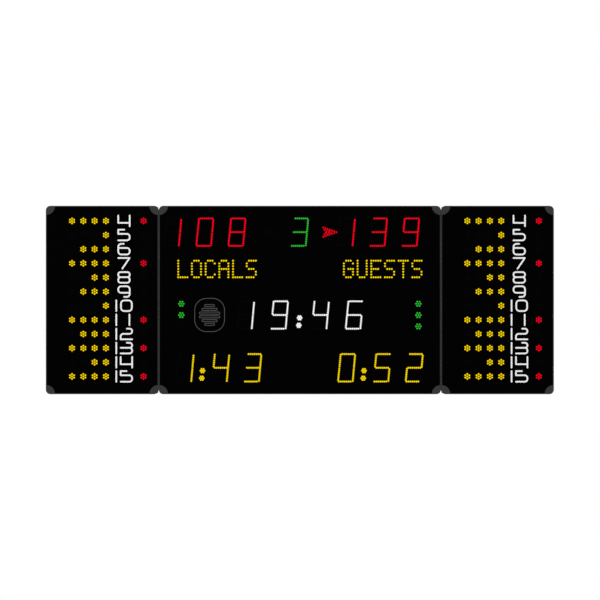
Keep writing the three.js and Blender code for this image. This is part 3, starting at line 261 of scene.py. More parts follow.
# %% Grain and unevenness
grain_group, given, result = shader_group(
    "surface_grain",
    [("Coordinates", VECTOR, None), ("Grain Scale", FLOAT, 900.0), ("Patch Scale", FLOAT, 6.0)],
    [("Grain", FLOAT), ("Patches", FLOAT)])
fine = add_node(grain_group, "ShaderNodeTexNoise", Detail=2.0, Roughness=0.55,
                Vector=given["Coordinates"], Scale=given["Grain Scale"])
patchy = add_node(grain_group, "ShaderNodeTexNoise", Detail=4.0, Roughness=0.6,
                  Vector=given["Coordinates"], Scale=given["Patch Scale"])
spread_out = add_node(grain_group, "ShaderNodeMapRange", From_Min=0.32, From_Max=0.68,
                      Value=patchy)
wire(grain_group, fine, result["Grain"])
wire(grain_group, spread_out, result["Patches"])
print("group:", grain_group.name)

# %% Rubbed edges
edge_group, given, result = shader_group(
    "rubbed_edges",
    [("Coordinates", VECTOR, None), ("Width", FLOAT, 0.0012), ("Breakup Scale", FLOAT, 160.0)],
    [("Edge", FLOAT), ("Rounded Normal", VECTOR)])
rounded = add_node(edge_group, "ShaderNodeBevel", samples=4, Radius=given["Width"])
true_normal = add_node(edge_group, "ShaderNodeNewGeometry").outputs["Normal"]
likeness = vector_node(edge_group, "DOT_PRODUCT", rounded, true_normal)["Value"]
unlike = calculate(edge_group, "SUBTRACT", 1.0, likeness, clamp=True)
sharpened = calculate(edge_group, "MULTIPLY", unlike, 6.0, clamp=True)
breakup = add_node(edge_group, "ShaderNodeTexNoise", Detail=3.0, Vector=given["Coordinates"],
                   Scale=given["Breakup Scale"])
broken = add_node(edge_group, "ShaderNodeMapRange", From_Min=0.42, From_Max=0.62,
                  Value=breakup)
wire(edge_group, calculate(edge_group, "MULTIPLY", sharpened, broken), result["Edge"])
wire(edge_group, rounded, result["Rounded Normal"])
print("group:", edge_group.name)

# %% Settled dust
dust_group, given, result = shader_group(
    "settled_dust",
    [("Coordinates", VECTOR, None), ("Own Normal", VECTOR, None), ("Amount", FLOAT, 0.3)],
    [("Dust", FLOAT)])
directions = add_node(dust_group, "ShaderNodeSeparateXYZ", Vector=given["Own Normal"])
upward = add_node(dust_group, "ShaderNodeMapRange", From_Min=0.55, From_Max=0.95,
                  Value=directions.outputs["Z"])
speckle = add_node(dust_group, "ShaderNodeTexNoise", Scale=45.0, Detail=6.0, Roughness=0.7,
                   Vector=given["Coordinates"])
drifted = calculate(dust_group, "MULTIPLY", upward, speckle)
wire(dust_group, calculate(dust_group, "MULTIPLY", drifted, given["Amount"], clamp=True),
     result["Dust"])
print("group:", dust_group.name)

# %% Drawing lines along one direction
streak_group, given, result = shader_group(
    "drawn_streaks",
    [("Coordinates", VECTOR, None), ("Squeeze", VECTOR, (1.0, 1.0, 1.0)),
     ("Line Scale", FLOAT, 700.0)],
    [("Streaks", FLOAT)])
stretched = vector_node(streak_group, "MULTIPLY", given["Coordinates"], given["Squeeze"])["Vector"]
drawn = add_node(streak_group, "ShaderNodeTexNoise", Detail=3.0, Roughness=0.6, Vector=stretched,
                 Scale=given["Line Scale"])
wire(streak_group, drawn, result["Streaks"])
print("group:", streak_group.name)

# %% Zinc spangle
spangle_group, given, result = shader_group(
    "zinc_spangle", [("Coordinates", VECTOR, None), ("Crystal Scale", FLOAT, 55.0)],
    [("Spangle", FLOAT)])
crystals = add_node(spangle_group, "ShaderNodeTexVoronoi", feature="F1", Randomness=1.0,
                    Vector=given["Coordinates"], Scale=given["Crystal Scale"])
crystal_tone = add_node(spangle_group, "ShaderNodeSeparateColor", Color=crystals.outputs["Color"])
wire(spangle_group, crystal_tone, result["Spangle"])
print("group:", spangle_group.name)

# %% Painted shade in the grooves along an extrusion
groove_shade_group, given, result = shader_group(
    "extruded_grooves",
    [("Coordinates", VECTOR, None), ("First", FLOAT, 0.056), ("Spacing", FLOAT, 0.008),
     ("Half Width", FLOAT, 0.0006)],
    [("Groove", FLOAT)])
depth = add_node(groove_shade_group, "ShaderNodeSeparateXYZ", Vector=given["Coordinates"]).outputs["Y"]
behind_front = calculate(groove_shade_group, "ADD", depth, given["First"])
from_middle = calculate(groove_shade_group, "SUBTRACT", calculate(groove_shade_group, "ABSOLUTE", behind_front),
                        given["Spacing"])
from_groove = calculate(groove_shade_group, "ABSOLUTE", from_middle)
wire(groove_shade_group, calculate(groove_shade_group, "LESS_THAN", from_groove, given["Half Width"]),
     result["Groove"])
print("group:", groove_shade_group.name)

# %% [markdown]
# ## Finishes
#
# One recipe makes every painted, moulded or plated finish: a base colour that patches, worn edges
# and dust change a little, a roughness that follows the patches, and a bump from the grain. What
# makes each one itself is its numbers. The blacks have a very low specular level, because the
# photograph's face is a deep matt black that hardly mirrors the room.

# %% The common recipe
DUST_COLOUR = (0.32, 0.30, 0.27)


def times(colour, factor):
    return tuple(min(1.0, c * factor) for c in colour)


def surface_finish(name, colour, roughness, metallic=0.0, specular=0.5, grain=900.0, relief=0.05,
                   uneven=0.12, worn=None, edge_width=0.0012, wear=0.5, dust=0.25, streaks=None,
                   spangle=0.0, groove_shade_at=None):
    """A painted, moulded or plated surface with grain, patches, rubbed edges and dust."""
    material, tree, shader = start_finish(name, colour, roughness, metallic, specular)
    place = add_node(tree, "ShaderNodeTexCoord").outputs
    texture = group_node(tree, grain_group, Grain_Scale=grain, Coordinates=place["Object"])
    height, unevenness = texture["Grain"], texture["Patches"]
    lighter = tuple(min(1.0, c * (1 + uneven) + 0.002 * uneven) for c in colour)
    tone = blend_colours(tree, unevenness, times(colour, 1 - uneven), lighter)
    bump = add_node(tree, "ShaderNodeBump", Strength=relief, Distance=0.001)
    if spangle:
        unevenness = group_node(tree, spangle_group, Coordinates=place["Object"])["Spangle"]
        pale = calculate(tree, "MULTIPLY", unevenness, spangle)
        tone = blend_colours(tree, pale, tone, times(colour, 1.45))
    if groove_shade_at is not None:
        lines = group_node(tree, groove_shade_group, First=groove_shade_at, Coordinates=place["Object"])
        # Painted shade: the extrusion's grooves are painted at 0.3 of the colour, for the shade
        # inside them.
        tone = blend_colours(tree, lines["Groove"], tone, times(colour, 0.3))
    if worn is not None:
        edges = group_node(tree, edge_group, Width=edge_width, Coordinates=place["Object"])
        tone = blend_colours(tree, calculate(tree, "MULTIPLY", edges["Edge"], wear), tone, worn)
        wire(tree, edges["Rounded Normal"], bump.inputs["Normal"])
    if dust:
        film = group_node(tree, dust_group, Amount=dust, Coordinates=place["Object"],
                          Own_Normal=place["Normal"])
        tone = blend_colours(tree, film["Dust"], tone, DUST_COLOUR)
    wire(tree, tone, shader.inputs["Base Color"])
    gloss = add_node(tree, "ShaderNodeMapRange", To_Min=roughness - 0.06, To_Max=roughness + 0.08,
                     Value=unevenness)
    wire(tree, gloss, shader.inputs["Roughness"])
    if streaks is not None:
        lines = group_node(tree, streak_group, Squeeze=streaks, Coordinates=place["Object"])
        height = calculate(tree, "MULTIPLY", height, lines["Streaks"])
    wire(tree, height, bump.inputs["Height"])
    wire(tree, bump, shader.inputs["Normal"])
    return material


print("recipe ready")

# %% Metals and paints of the cabinets
casing_paint = surface_finish("casing_paint", (0.021, 0.022, 0.025), 0.55, grain=700, relief=0.3,
                              uneven=0.3, worn=(0.09, 0.09, 0.095), edge_width=0.0022, wear=0.7)
frame_paint = surface_finish("frame_paint", (0.0145, 0.0145, 0.0155), 0.5, specular=0.24,
                             grain=1500, relief=0.12, worn=(0.06, 0.06, 0.063), wear=0.25,
                             dust=0.15, streaks=(0.02, 1, 0.02), groove_shade_at=0.0645)
corner_plastic = surface_finish("corner_plastic", (0.026, 0.026, 0.027), 0.6, specular=0.2,
                                grain=1300, relief=0.35, worn=(0.05, 0.05, 0.052), wear=0.3,
                                dust=0.15)
bare_steel = surface_finish("bare_steel", (0.42, 0.43, 0.44), 0.42, metallic=1.0, grain=400,
                            relief=0.05, uneven=0.2, worn=(0.62, 0.63, 0.64), wear=0.6, dust=0.2)
galvanised = surface_finish("galvanised", (0.4, 0.41, 0.42), 0.4, metallic=1.0, grain=500,
                            relief=0.05, uneven=0.15, worn=(0.6, 0.61, 0.62), wear=0.6,
                            dust=0.25, spangle=0.7)
zinc_plate = surface_finish("zinc_plate", (0.55, 0.55, 0.53), 0.3, metallic=1.0, grain=1200,
                            relief=0.04, uneven=0.1, worn=(0.4, 0.39, 0.37), wear=0.4, dust=0.1)
print("cabinet finishes:", casing_paint.name, frame_paint.name, corner_plastic.name)

# %% Blacks of the face
grille_plastic = surface_finish("grille_plastic", (0.0005, 0.0005, 0.0006), 0.55, specular=0.006,
                                grain=1600, relief=0.35, uneven=0.2, dust=0.0)
# Painted highlight: the beads' finish is a lighter copy of the grille's black, for the light they
# catch.
grille_bead = surface_finish("grille_bead", (0.088, 0.088, 0.09), 0.5, specular=0.15, grain=1600,
                             relief=0.3, uneven=0.12, dust=0.0)
print("face blacks ready")

# %% Rubber, plastics and paper inside
switch_plastic = surface_finish("switch_plastic", (0.006, 0.006, 0.006), 0.3, grain=2500,
                                relief=0.05, worn=(0.03, 0.03, 0.03), wear=0.4, dust=0.1)
lead_sheath = surface_finish("lead_sheath", (0.008, 0.008, 0.009), 0.7, specular=0.35, grain=1400,
                             relief=0.25, dust=0.2)
cone_paper = surface_finish("cone_paper", (0.012, 0.012, 0.012), 0.9, specular=0.15, grain=500,
                            relief=0.5, uneven=0.3, dust=0.0)
print("inside finishes ready")

# %% [markdown]
# ## Circuit boards
#
# A board carries copper tracks under green lacquer. They run along rows and columns, start and stop
# at small round pads, and leave gaps. A brick texture would read as a wall, so the group makes
# dashes: a ping-pong of one coordinate gives evenly spaced lines, and a random value for each
# stretch of a line decides whether there is copper. In front the display boards wear a black
# housing, so a place along the depth separates black from green in one material.

# %% Copper tracks
track_group, given, result = shader_group(
    "copper_tracks",
    [("Coordinates", VECTOR, None), ("Row Spacing", FLOAT, 0.0023),
     ("Column Spacing", FLOAT, 0.0069), ("Run Length", FLOAT, 0.0092),
     ("Half Width", FLOAT, 0.0003), ("Pad Radius", FLOAT, 0.0008)],
    [("Copper", FLOAT)])
board_parts = add_node(track_group, "ShaderNodeSeparateXYZ", Vector=given["Coordinates"]).outputs
board_x, board_z = board_parts["X"], board_parts["Z"]
row_spacing, run_length = given["Row Spacing"], given["Run Length"]


def track_math(operation, first, second=0.0):
    return calculate(track_group, operation, first, second)


def from_line(place, spacing):
    """Distance to the nearest of evenly spaced lines."""
    return track_math("PINGPONG", place, track_math("MULTIPLY", spacing, 0.5))


def chance(along, across, run, spacing, seed, share):
    """1 in the stretches that a random value picks, 0 in the others."""
    half = track_math("MULTIPLY", spacing, 0.5)
    stretch = add_node(track_group, "ShaderNodeCombineXYZ", X=track_math("SNAP", along, run),
                       Y=track_math("SNAP", track_math("ADD", across, half), spacing), Z=seed)
    noise = add_node(track_group, "ShaderNodeTexWhiteNoise", noise_dimensions="3D",
                     Vector=stretch)
    return track_math("LESS_THAN", noise, share)


copper = 0.0
for along, across, spacing, seed, share in (
        (board_x, board_z, row_spacing, 1.0, 0.6),
        (board_z, board_x, given["Column Spacing"], 2.0, 0.45)):
    line = track_math("LESS_THAN", from_line(across, spacing), given["Half Width"])
    dashes = track_math("MULTIPLY", line, chance(along, across, run_length, spacing, seed, share))
    copper = track_math("MAXIMUM", copper, dashes)
pad_place = add_node(track_group, "ShaderNodeCombineXYZ", X=from_line(board_x, run_length),
                     Y=from_line(board_z, row_spacing))
from_pad = vector_node(track_group, "LENGTH", pad_place)["Value"]
half_run = track_math("ADD", board_x, track_math("MULTIPLY", run_length, 0.5))
pads = track_math("MULTIPLY", track_math("LESS_THAN", from_pad, given["Pad Radius"]),
                  chance(half_run, board_z, run_length, row_spacing, 3.0, 0.35))
wire(track_group, track_math("MAXIMUM", copper, pads), result["Copper"])
print("group:", track_group.name, "with", len(track_group.nodes), "nodes")

# %% Boards, black in front and green behind
BOARD_FRONT, BOARD_BACK, CONTROL_FRONT = -75.7, -74.1, -23.4
PLANE_GAP = 0.1


def behind_plane(tree, here, plane):
    depth = add_node(tree, "ShaderNodeSeparateXYZ", Vector=here).outputs["Y"]
    return calculate(tree, "GREATER_THAN", depth, (plane - PLANE_GAP) * MM)


def board_finish(name, plane, front_tone, specular):
    """Black housing in front of a plane, green solder mask with tracks behind it."""
    material, tree, shader = start_finish(name, front_tone, 0.55, specular=specular)
    here = add_node(tree, "ShaderNodeTexCoord").outputs["Object"]
    behind = behind_plane(tree, here, plane)
    texture = group_node(tree, grain_group, Grain_Scale=2200.0, Patch_Scale=14.0, Coordinates=here)
    tracks = group_node(tree, track_group, Coordinates=here)["Copper"]
    mask = blend_colours(tree, texture["Patches"], (0.006, 0.045, 0.016), (0.011, 0.075, 0.027))
    mask = blend_colours(tree, tracks, mask, (0.02, 0.12, 0.042))
    front = blend_colours(tree, texture["Patches"], times(front_tone, 0.8), front_tone)
    wire(tree, blend_colours(tree, behind, front, mask), shader.inputs["Base Color"])
    relief = calculate(tree, "ADD", calculate(tree, "MULTIPLY", tracks, behind),
                       calculate(tree, "MULTIPLY", texture["Grain"], 0.3))
    bump = add_node(tree, "ShaderNodeBump", Strength=0.3, Distance=0.0005, Height=relief)
    wire(tree, bump, shader.inputs["Normal"])
    return material


display_board = board_finish("display_board", BOARD_FRONT, (0.0005, 0.0005, 0.0006), 0.006)
control_finish = board_finish("control_finish", CONTROL_FRONT, (0.012, 0.012, 0.013), 0.3)
print("boards ready")

# %% [markdown]
# ## The back of the face sheets
#
# The face is printed black from the front only. Behind, the same sheet is a lighter charcoal with
# the fine scratches of the protective film. A position along the depth separates the two in one
# material, because the sheet is a single solid.

# %% Face sheets, front and back
FACE_INK_BACK = -79.6
two_tone_face, tree, shader = start_finish(
    "two_tone_face", (0.0004, 0.0004, 0.0005), 0.5, specular=0.006)
here = add_node(tree, "ShaderNodeTexCoord").outputs["Object"]
behind = behind_plane(tree, here, FACE_INK_BACK)
texture = group_node(tree, grain_group, Grain_Scale=1800.0, Patch_Scale=9.0, Coordinates=here)
scratches = group_node(tree, streak_group, Squeeze=(0.03, 0.03, 1.0), Line_Scale=420.0,
                       Coordinates=here)["Streaks"]
front = blend_colours(tree, texture["Patches"], (0.0003, 0.0003, 0.0004), (0.0005, 0.0005, 0.0006))
scratched = calculate(tree, "MULTIPLY", scratches, texture["Patches"])
back = blend_colours(tree, scratched, (0.014, 0.014, 0.015), (0.05, 0.05, 0.052))
wire(tree, blend_colours(tree, behind, front, back), shader.inputs["Base Color"])
bump = add_node(tree, "ShaderNodeBump", Strength=0.25, Distance=0.001, Height=texture["Grain"])
wire(tree, bump, shader.inputs["Normal"])
print("face sheets finished on both sides")

# %% [markdown]
# ## Lit and unlit LEDs
#
# A lit LED seen square on is a small even disc, a little darker at its rim, where the light leaves
# the lens sideways. Emission at full strength renders the colour as it is written. The rim comes
# from an attribute that each lens carries: its share of the way from the axis to the edge. An
# unlit lens is smoky black and only catches a glint from the side.

# %% LED finishes
def srgb(red, green, blue):
    """A colour as read from a picture, 0 to 255, as the light value that renders it."""
    shares = [value / 255 for value in (red, green, blue)]
    return tuple(c / 12.92 if c <= 0.04045 else ((c + 0.055) / 1.055) ** 2.4 for c in shares)


def lit_lens(name, colour, rim_share):
    """A glowing lens whose rim has rim_share of the middle's light."""
    material, tree, shader = start_finish(name, times(colour, 0.02), 0.35, specular=0.02)
    across = add_node(tree, "ShaderNodeAttribute", attribute_name="across")
    fall = add_node(tree, "ShaderNodeMapRange", interpolation_type="SMOOTHSTEP", From_Min=0.45,
                    From_Max=1.0, Value=across)
    glow = blend_colours(tree, fall, colour, times(colour, rim_share))
    wire(tree, glow, shader.inputs["Emission Color"])
    shader.inputs["Emission Strength"].default_value = 1.0
    return material


red_lens = lit_lens("red_lens", srgb(255, 0, 30), 0.75)
yellow_lens = lit_lens("yellow_lens", srgb(255, 219, 0), 0.8)
green_lens = lit_lens("green_lens", srgb(44, 184, 51), 0.8)
white_lens = lit_lens("white_lens", srgb(255, 255, 255), 0.85)

dark_lens, tree, shader = start_finish("dark_lens", (0.0007, 0.0007, 0.0007), 0.3, specular=0.014)
across = add_node(tree, "ShaderNodeAttribute", attribute_name="across")
# Painted shade: the smoky black lens is painted darker towards its rim.
rim_shaded_smoke = blend_colours(tree, across, (0.0009, 0.0009, 0.0009), (0.0004, 0.0004, 0.0004))
wire(tree, rim_shaded_smoke, shader.inputs["Base Color"])
print("LED finishes: red, yellow, green, white and dark")

# %% [markdown]
# ## Finishes on the CAD nodes
#
# The nodes whose shape is right keep it, and only get a better finish in their material slots. The
# names say what each is made of, so one list of endings and finishes covers all sixty. The first
# ending that fits counts, so the control board comes before the other boards.

# %% Give every CAD node its finish
FINISH_BY_ENDING = [
    ("wall_rail", galvanised), ("casing", casing_paint), ("profile", frame_paint),
    ("corner", corner_plastic), ("face_panel", two_tone_face), ("stay", zinc_plate),
    ("lock", zinc_plate), ("grille", grille_plastic), ("driver", bare_steel),
    ("cone", cone_paper), ("power_supply", bare_steel), ("control_board", control_finish),
    ("_board", display_board), ("mains_inlet", switch_plastic),
    ("power_switch", switch_plastic), ("link_lead", lead_sheath),
]
for node_name, node_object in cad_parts.items():
    node_object.data.materials.clear()
    node_object.data.materials.append(
        next(material for ending, material in FINISH_BY_ENDING if node_name.endswith(ending)))
print(len(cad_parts), "CAD nodes have a procedural finish")

# %% [markdown]
# ## From a recipe of nodes to a plain mesh
#
# Geometry Nodes place what repeats: over two thousand LED lenses, and later screws, chips and
# solder points. Copying by hand would be slow to change; with a tree, a size is one number. At the
# end each result is made a plain mesh that rides on a moving body, and the modifier goes, because
# the finished piece has to stand on its own.

# %% Helpers for Geometry Nodes trees
def geometry_tree(name, inputs):
    """A Geometry Nodes tree with named inputs; gives the tree and the sockets that come in."""
    tree = bpy.data.node_groups.new(name, "GeometryNodeTree")
    for title, kind in [("Geometry", "NodeSocketGeometry")] + inputs:
        tree.interface.new_socket(title, in_out="INPUT", socket_type=kind)
    tree.interface.new_socket("Geometry", in_out="OUTPUT", socket_type="NodeSocketGeometry")
    return tree, tree.nodes.new("NodeGroupInput").outputs


def end_tree(tree, geometry, finish, marked_finish=None, mark=None):
    """Makes instances real, gives them their finish, and another where a mark is set."""
    real = add_node(tree, "GeometryNodeRealizeInstances", Geometry=geometry)
    end = add_node(tree, "GeometryNodeSetMaterial", Geometry=real, Material=finish)
    if mark:
        end = add_node(tree, "GeometryNodeSetMaterial", Geometry=end, Selection=mark,
                       Material=marked_finish)
    add_node(tree, "NodeGroupOutput", Geometry=end)
    print(tree.name, "has", len(tree.nodes), "nodes")


print("tree helpers ready")

# %% Helpers for pieces
def grow(name, mesh, tree, **values):
    """Runs a Geometry Nodes tree on a mesh and gives the result as a plain object."""
    seed = place_object(name + "_seed", mesh)
    modifier = seed.modifiers.new(tree.name, "NODES")
    modifier.node_group = tree
    for item in tree.interface.items_tree:
        title = item.name.replace(" ", "_")
        if item.in_out == "INPUT" and title in values:
            modifier[item.identifier] = values[title]
    graph = bpy.context.evaluated_depsgraph_get()
    grown = bpy.data.meshes.new_from_object(
        seed.evaluated_get(graph), preserve_all_data_layers=True, depsgraph=graph)
    bpy.data.objects.remove(seed)
    return new_piece(name, grown)


def new_piece(name, mesh):
    mesh.name = name
    return place_object(name, mesh)


def seat(piece, body, *materials):
    """Adds the given finishes to a piece's materials and lets it ride on a body."""
    for material in materials:
        piece.data.materials.append(material)
    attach(piece, body)
    return piece


print("piece helpers ready")

# %% [markdown]
# ## LED lenses
#
# Each lens is a flattened dome that stands through the black housing. Its own tree makes one low
# sphere, turns its pole to the front, stores how far each point is from the axis, and sets a copy
# on every place. Whether a lamp is lit is a number on its place, which picks the finish.

# %% The lens tree
lens_tree, given = geometry_tree("led_lenses", [
    ("Lens Radius", FLOAT), ("Lens Height", FLOAT),
    ("Lit Finish", "NodeSocketMaterial"), ("Dark Finish", "NodeSocketMaterial")])
ball = add_node(lens_tree, "GeometryNodeMeshUVSphere", Segments=12, Rings=6, Radius=1.0)
ball_point = add_node(lens_tree, "GeometryNodeInputPosition")
flattened = vector_node(lens_tree, "MULTIPLY", ball_point, (1, 1, 0))["Vector"]
off_axis = vector_node(lens_tree, "LENGTH", flattened)["Value"]
marked = add_node(lens_tree, "GeometryNodeStoreNamedAttribute", data_type="FLOAT", domain="POINT",
                  Name="across", Geometry=ball, Value=off_axis)
rounded_off = add_node(lens_tree, "GeometryNodeSetShadeSmooth", Geometry=marked)
lens_scale = add_node(lens_tree, "ShaderNodeCombineXYZ", X=given["Lens Radius"],
                      Y=given["Lens Radius"], Z=given["Lens Height"])
facing = add_node(lens_tree, "GeometryNodeTransform", Rotation=(math.radians(90), 0, 0),
                  Geometry=rounded_off, Scale=lens_scale)
set_out = add_node(lens_tree, "GeometryNodeInstanceOnPoints", Points=given["Geometry"],
                   Instance=facing)
lit_mark = add_node(lens_tree, "GeometryNodeInputNamedAttribute", data_type="FLOAT", Name="lit")
end_tree(lens_tree, set_out, given["Dark Finish"], given["Lit Finish"],
         calculate(lens_tree, "GREATER_THAN", lit_mark, 0.5))

# %% Lens pieces from lists of places
LENS_RADIUS = 6.2 * MM
LENS_HEIGHT = 1.7 * MM
soldered = {}


def lenses(name, board, cabinet_x, places, body, lit_finish, radius=LENS_RADIUS):
    """Lenses on a board's raised bars; places are (x, z, lit) from the cabinet's middle, in mm."""
    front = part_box(board)[0].y
    points = [(cabinet_x + x * MM, front, BOARD_CENTRE.z + z * MM) for x, z, lit in places]
    soldered.setdefault(board, []).extend((x, z) for x, front, z in points)
    mesh = bpy.data.meshes.new(name)
    mesh.from_pydata(points, [], [])
    flags = mesh.attributes.new("lit", "FLOAT", "POINT")
    flags.data.foreach_set("value", [float(lit) for x, z, lit in places])
    piece = grow(name, mesh, lens_tree, Lens_Radius=radius, Lens_Height=LENS_HEIGHT,
                 Lit_Finish=lit_finish, Dark_Finish=dark_lens)
    print(name, "has", len(places), "lenses,", sum(1 for place in places if place[2]), "lit")
    return seat(piece, body)


# %% [markdown]
# ## What the displays show
#
# A digit is drawn by seven bars of seven lamps, as on any such board, and leans a little to the
# right. A letter is a field of five by seven lamps. A round lamp is a ring of six with one in the
# middle. Small functions give the places of each, so the layout below reads like the board itself.

# %% Digits, lamps and colons
PITCH = 13.0
SEGMENTS_LIT = {"0": "abcdef", "1": "bc", "2": "abged", "3": "abgcd", "4": "fgbc", "5": "afgcd",
                "6": "afgedc", "7": "abc", "8": "abcdefg", "9": "abcdfg"}


def segment_places(segment):
    """The seven lamps of one bar, in pitches from the digit's middle."""
    steps = range(7)
    if segment in "agd":
        shift, height = {"a": (0.9, 7), "g": (0.07, 0), "d": (-0.9, -7)}[segment]
        return [(shift + step - 3, height) for step in steps]
    start, climb = {"b": (0.45, 0.96), "c": (-0.7, -1), "f": (0.7, 1), "e": (-0.45, -0.96)}[segment]
    heights = [start + climb * step for step in steps]
    if segment in "bc":
        return [(3.8 + 0.09 * height, height) for height in heights]
    return [(-3.63 + 0.1 * height, height) for height in heights]


def digit(x, z, shown):
    lit = SEGMENTS_LIT[shown]
    return [(x + u * PITCH, z + v * PITCH, segment in lit)
            for segment in "abcdefg" for u, v in segment_places(segment)]


def lamp(x, z, lit, ring, first_angle):
    around = [math.radians(first_angle + 60 * step) for step in range(6)]
    return [(x, z, lit)] + [(x + ring * math.cos(turn), z + ring * math.sin(turn), lit)
                            for turn in around]


COLON_DROPS = (19, 69)
COLON_RING = 12.6


def colon(x, z):
    return [place for drop in COLON_DROPS
            for place in lamp(x - 0.1 * drop, z - drop, True, COLON_RING, 0)]


print("one digit has", len(digit(0, 0, "8")), "lamps")

# %% The letters of the two name lines
LETTERS = {
    "L": ("#....", "#....", "#....", "#....", "#....", "#....", "#####"),
    "O": (".###.", "#...#", "#...#", "#...#", "#...#", "#...#", ".###."),
    "C": (".###.", "#...#", "#....", "#....", "#....", "#...#", ".###."),
    "A": (".###.", "#...#", "#...#", "#####", "#...#", "#...#", "#...#"),
    "S": (".####", "#....", "#....", ".###.", "....#", "....#", "####."),
    "G": (".###.", "#...#", "#....", "#.###", "#...#", "#...#", ".###."),
    "U": ("#...#", "#...#", "#...#", "#...#", "#...#", "#...#", ".###."),
    "E": ("#####", "#....", "#....", "####.", "#....", "#....", "#####"),
    "T": ("#####", "..#..", "..#..", "..#..", "..#..", "..#..", "..#.."),
}
DOT_PITCH_X = 15.1
DOT_PITCH_Z = 18.3
LETTER_PITCH = 90.9


def name_line(x, z, word):
    places = []
    for index, letter in enumerate(word):
        middle = x + (index - (len(word) - 1) / 2) * LETTER_PITCH
        for row, dots in enumerate(LETTERS[letter]):
            for column, dot in enumerate(dots):
                places.append((middle + (column - 2) * DOT_PITCH_X, z + (3 - row) * DOT_PITCH_Z,
                               dot == "#"))
    return places


print("letters drawn:", "".join(LETTERS))

# %% The period's arrows
ARROW_COLUMNS = [(43.5, (0,)), (29.1, (-6, 6)), (14.6, (-10.2, 10.2)), (0.1, (-15.2, 15.2)),
                 (-14.4, (-20.3, 20.3)), (-28.9, (-25.4, 25.4)), (-43.5, (-30.5, 30.5)),
                 (7.7, (0,)), (-6.7, (-6, 6)), (-21.2, (-10.3, 10.3)), (-35.7, (-15.5, 15.5)),
                 (-27.6, (0,))]
ARROW_LENS = 5.6 * MM


def arrow(x, z, side, lit):
    return [(x + side * u, z + v, lit) for u, heights in ARROW_COLUMNS for v in heights]


print("an arrow has", len(arrow(0, 0, 1, True)), "lamps")

# %% Light the wide cabinet
SCORE_ROW, NAME_ROW, CLOCK_ROW, TIMER_ROW = 450.25, 205.75, -99.5, -449.9
HOME_SCORE_X, GUEST_SCORE_X = (-843.9, -630.9, -417.9), (308.5, 521.5, 734.5)
HOME_TIMER_X, GUEST_TIMER_X = (-762.0, -526.0, -313.0), (309.5, 545.5, 758.5)
CLOCK_X = (-360.5, -135.5, 135.5, 360.5)
PERIOD_X, ARROW_X, NAME_X, COLON_OFFSET = -2.0, 199.2, 549.6, 118.0


def number(columns, z, shown):
    return [place for x, figure in zip(columns, shown) for place in digit(x, z, figure)]


def timer(columns, shown):
    return number(columns, TIMER_ROW, shown) + colon(columns[0] + COLON_OFFSET, TIMER_ROW)


for name, board, places, finish, *radius in (
        ("home_score", "home_score", number(HOME_SCORE_X, SCORE_ROW, "108"), red_lens),
        ("guest_score", "guest_score", number(GUEST_SCORE_X, SCORE_ROW, "139"), red_lens),
        ("period", "period", digit(PERIOD_X, SCORE_ROW, "3"), green_lens),
        ("arrow", "period", arrow(-ARROW_X, SCORE_ROW, -1, False)
         + arrow(ARROW_X, SCORE_ROW, 1, True), red_lens, ARROW_LENS),
        ("home_name", "home_name", name_line(-NAME_X, NAME_ROW, "LOCALS"), yellow_lens),
        ("guest_name", "guest_name", name_line(NAME_X, NAME_ROW, "GUESTS"), yellow_lens),
        ("clock", "clock", number(CLOCK_X, CLOCK_ROW, "1946") + colon(0, CLOCK_ROW), white_lens),
        ("home_timer", "home_timer", timer(HOME_TIMER_X, "143"), yellow_lens),
        ("guest_timer", "guest_timer", timer(GUEST_TIMER_X, "052"), yellow_lens)):
    lenses(name + "_lenses", board + "_board", 0, places, "main_door", finish, *radius)

# %% Light the time-out lamps
LAMP_RING = 15.5
TIMEOUT_X = 786.6
TIMEOUT_ROWS = (-25.25, -100.25, -175.25)
for side, lit_rows, name in ((-1, (True, True, False), "home"), (1, (True, True, True), "guest")):
    places = [place for z, lit in zip(TIMEOUT_ROWS, lit_rows)
              for place in lamp(side * TIMEOUT_X, z, lit, LAMP_RING, 0)]
    lenses(name + "_timeout_lenses", name + "_timeout_board", 0, places, "main_door", green_lens)

# %% Light the foul lamps of the narrow cabinets
SIDES = ((-1, "left"), (1, "right"))
SIDE_X = 1311.5
FOUL_COLUMNS = (-200.3, -125.3, -50.3, 24.7)
LAST_FOUL_X = 274.5
FOUL_TOP, FOUL_PITCH = 524.9, 93.8
FOULS = (4, 1, 3, 4, 2, 3, 1, 4, 3, 4, 2, 4)
OUT_ROWS = (0, 3, 7, 9, 11)
for side, name in SIDES:
    fouls, last_fouls = [], []
    for row, count in enumerate(FOULS):
        z = FOUL_TOP - row * FOUL_PITCH
        for column, x in enumerate(FOUL_COLUMNS):
            fouls += lamp(x, z, column >= len(FOUL_COLUMNS) - count, LAMP_RING, 30)
        last_fouls += lamp(LAST_FOUL_X, z, row in OUT_ROWS, LAMP_RING, 30)
    for kind, places, finish in (("foul", fouls, yellow_lens), ("last_foul", last_fouls, red_lens)):
        lenses(f"{name}_{kind}_lenses", name + "_foul_board", side * SIDE_X * MM, places,
               name + "_door", finish)

# %% [markdown]
# ## Printed numbers
#
# The players' numbers, 4 to 15, are screen-printed on the face in thick white ink. A font would
# bring its own shapes; these are drawn strokes of even width with round ends and round corners, so
# each is a path. A path with its corners rounded becomes a flat ribbon with a real ink thickness.

# %% Helpers for solids
def skin(shape, rings, capped=True):
    """Walls from each ring of points to the next, and a cap at both ends."""
    rings = [[shape.verts.new(point) for point in ring] for ring in rings]
    if capped:
        shape.faces.new(rings[0])
        shape.faces.new(rings[-1][::-1])
    for first, second in zip(rings, rings[1:]):
        for index in range(len(first)):
            after = (index + 1) % len(first)
            shape.faces.new((first[after], first[index], second[index], second[after]))


def mesh_of(shape, name):
    mesh = bpy.data.meshes.new(name)
    shape.to_mesh(mesh)
    shape.free()
    return mesh


def smooth(mesh, sharp_angle=None):
    for face in mesh.polygons:
        face.use_smooth = True
    if sharp_angle:
        mesh.set_sharp_from_angle(angle=math.radians(sharp_angle))


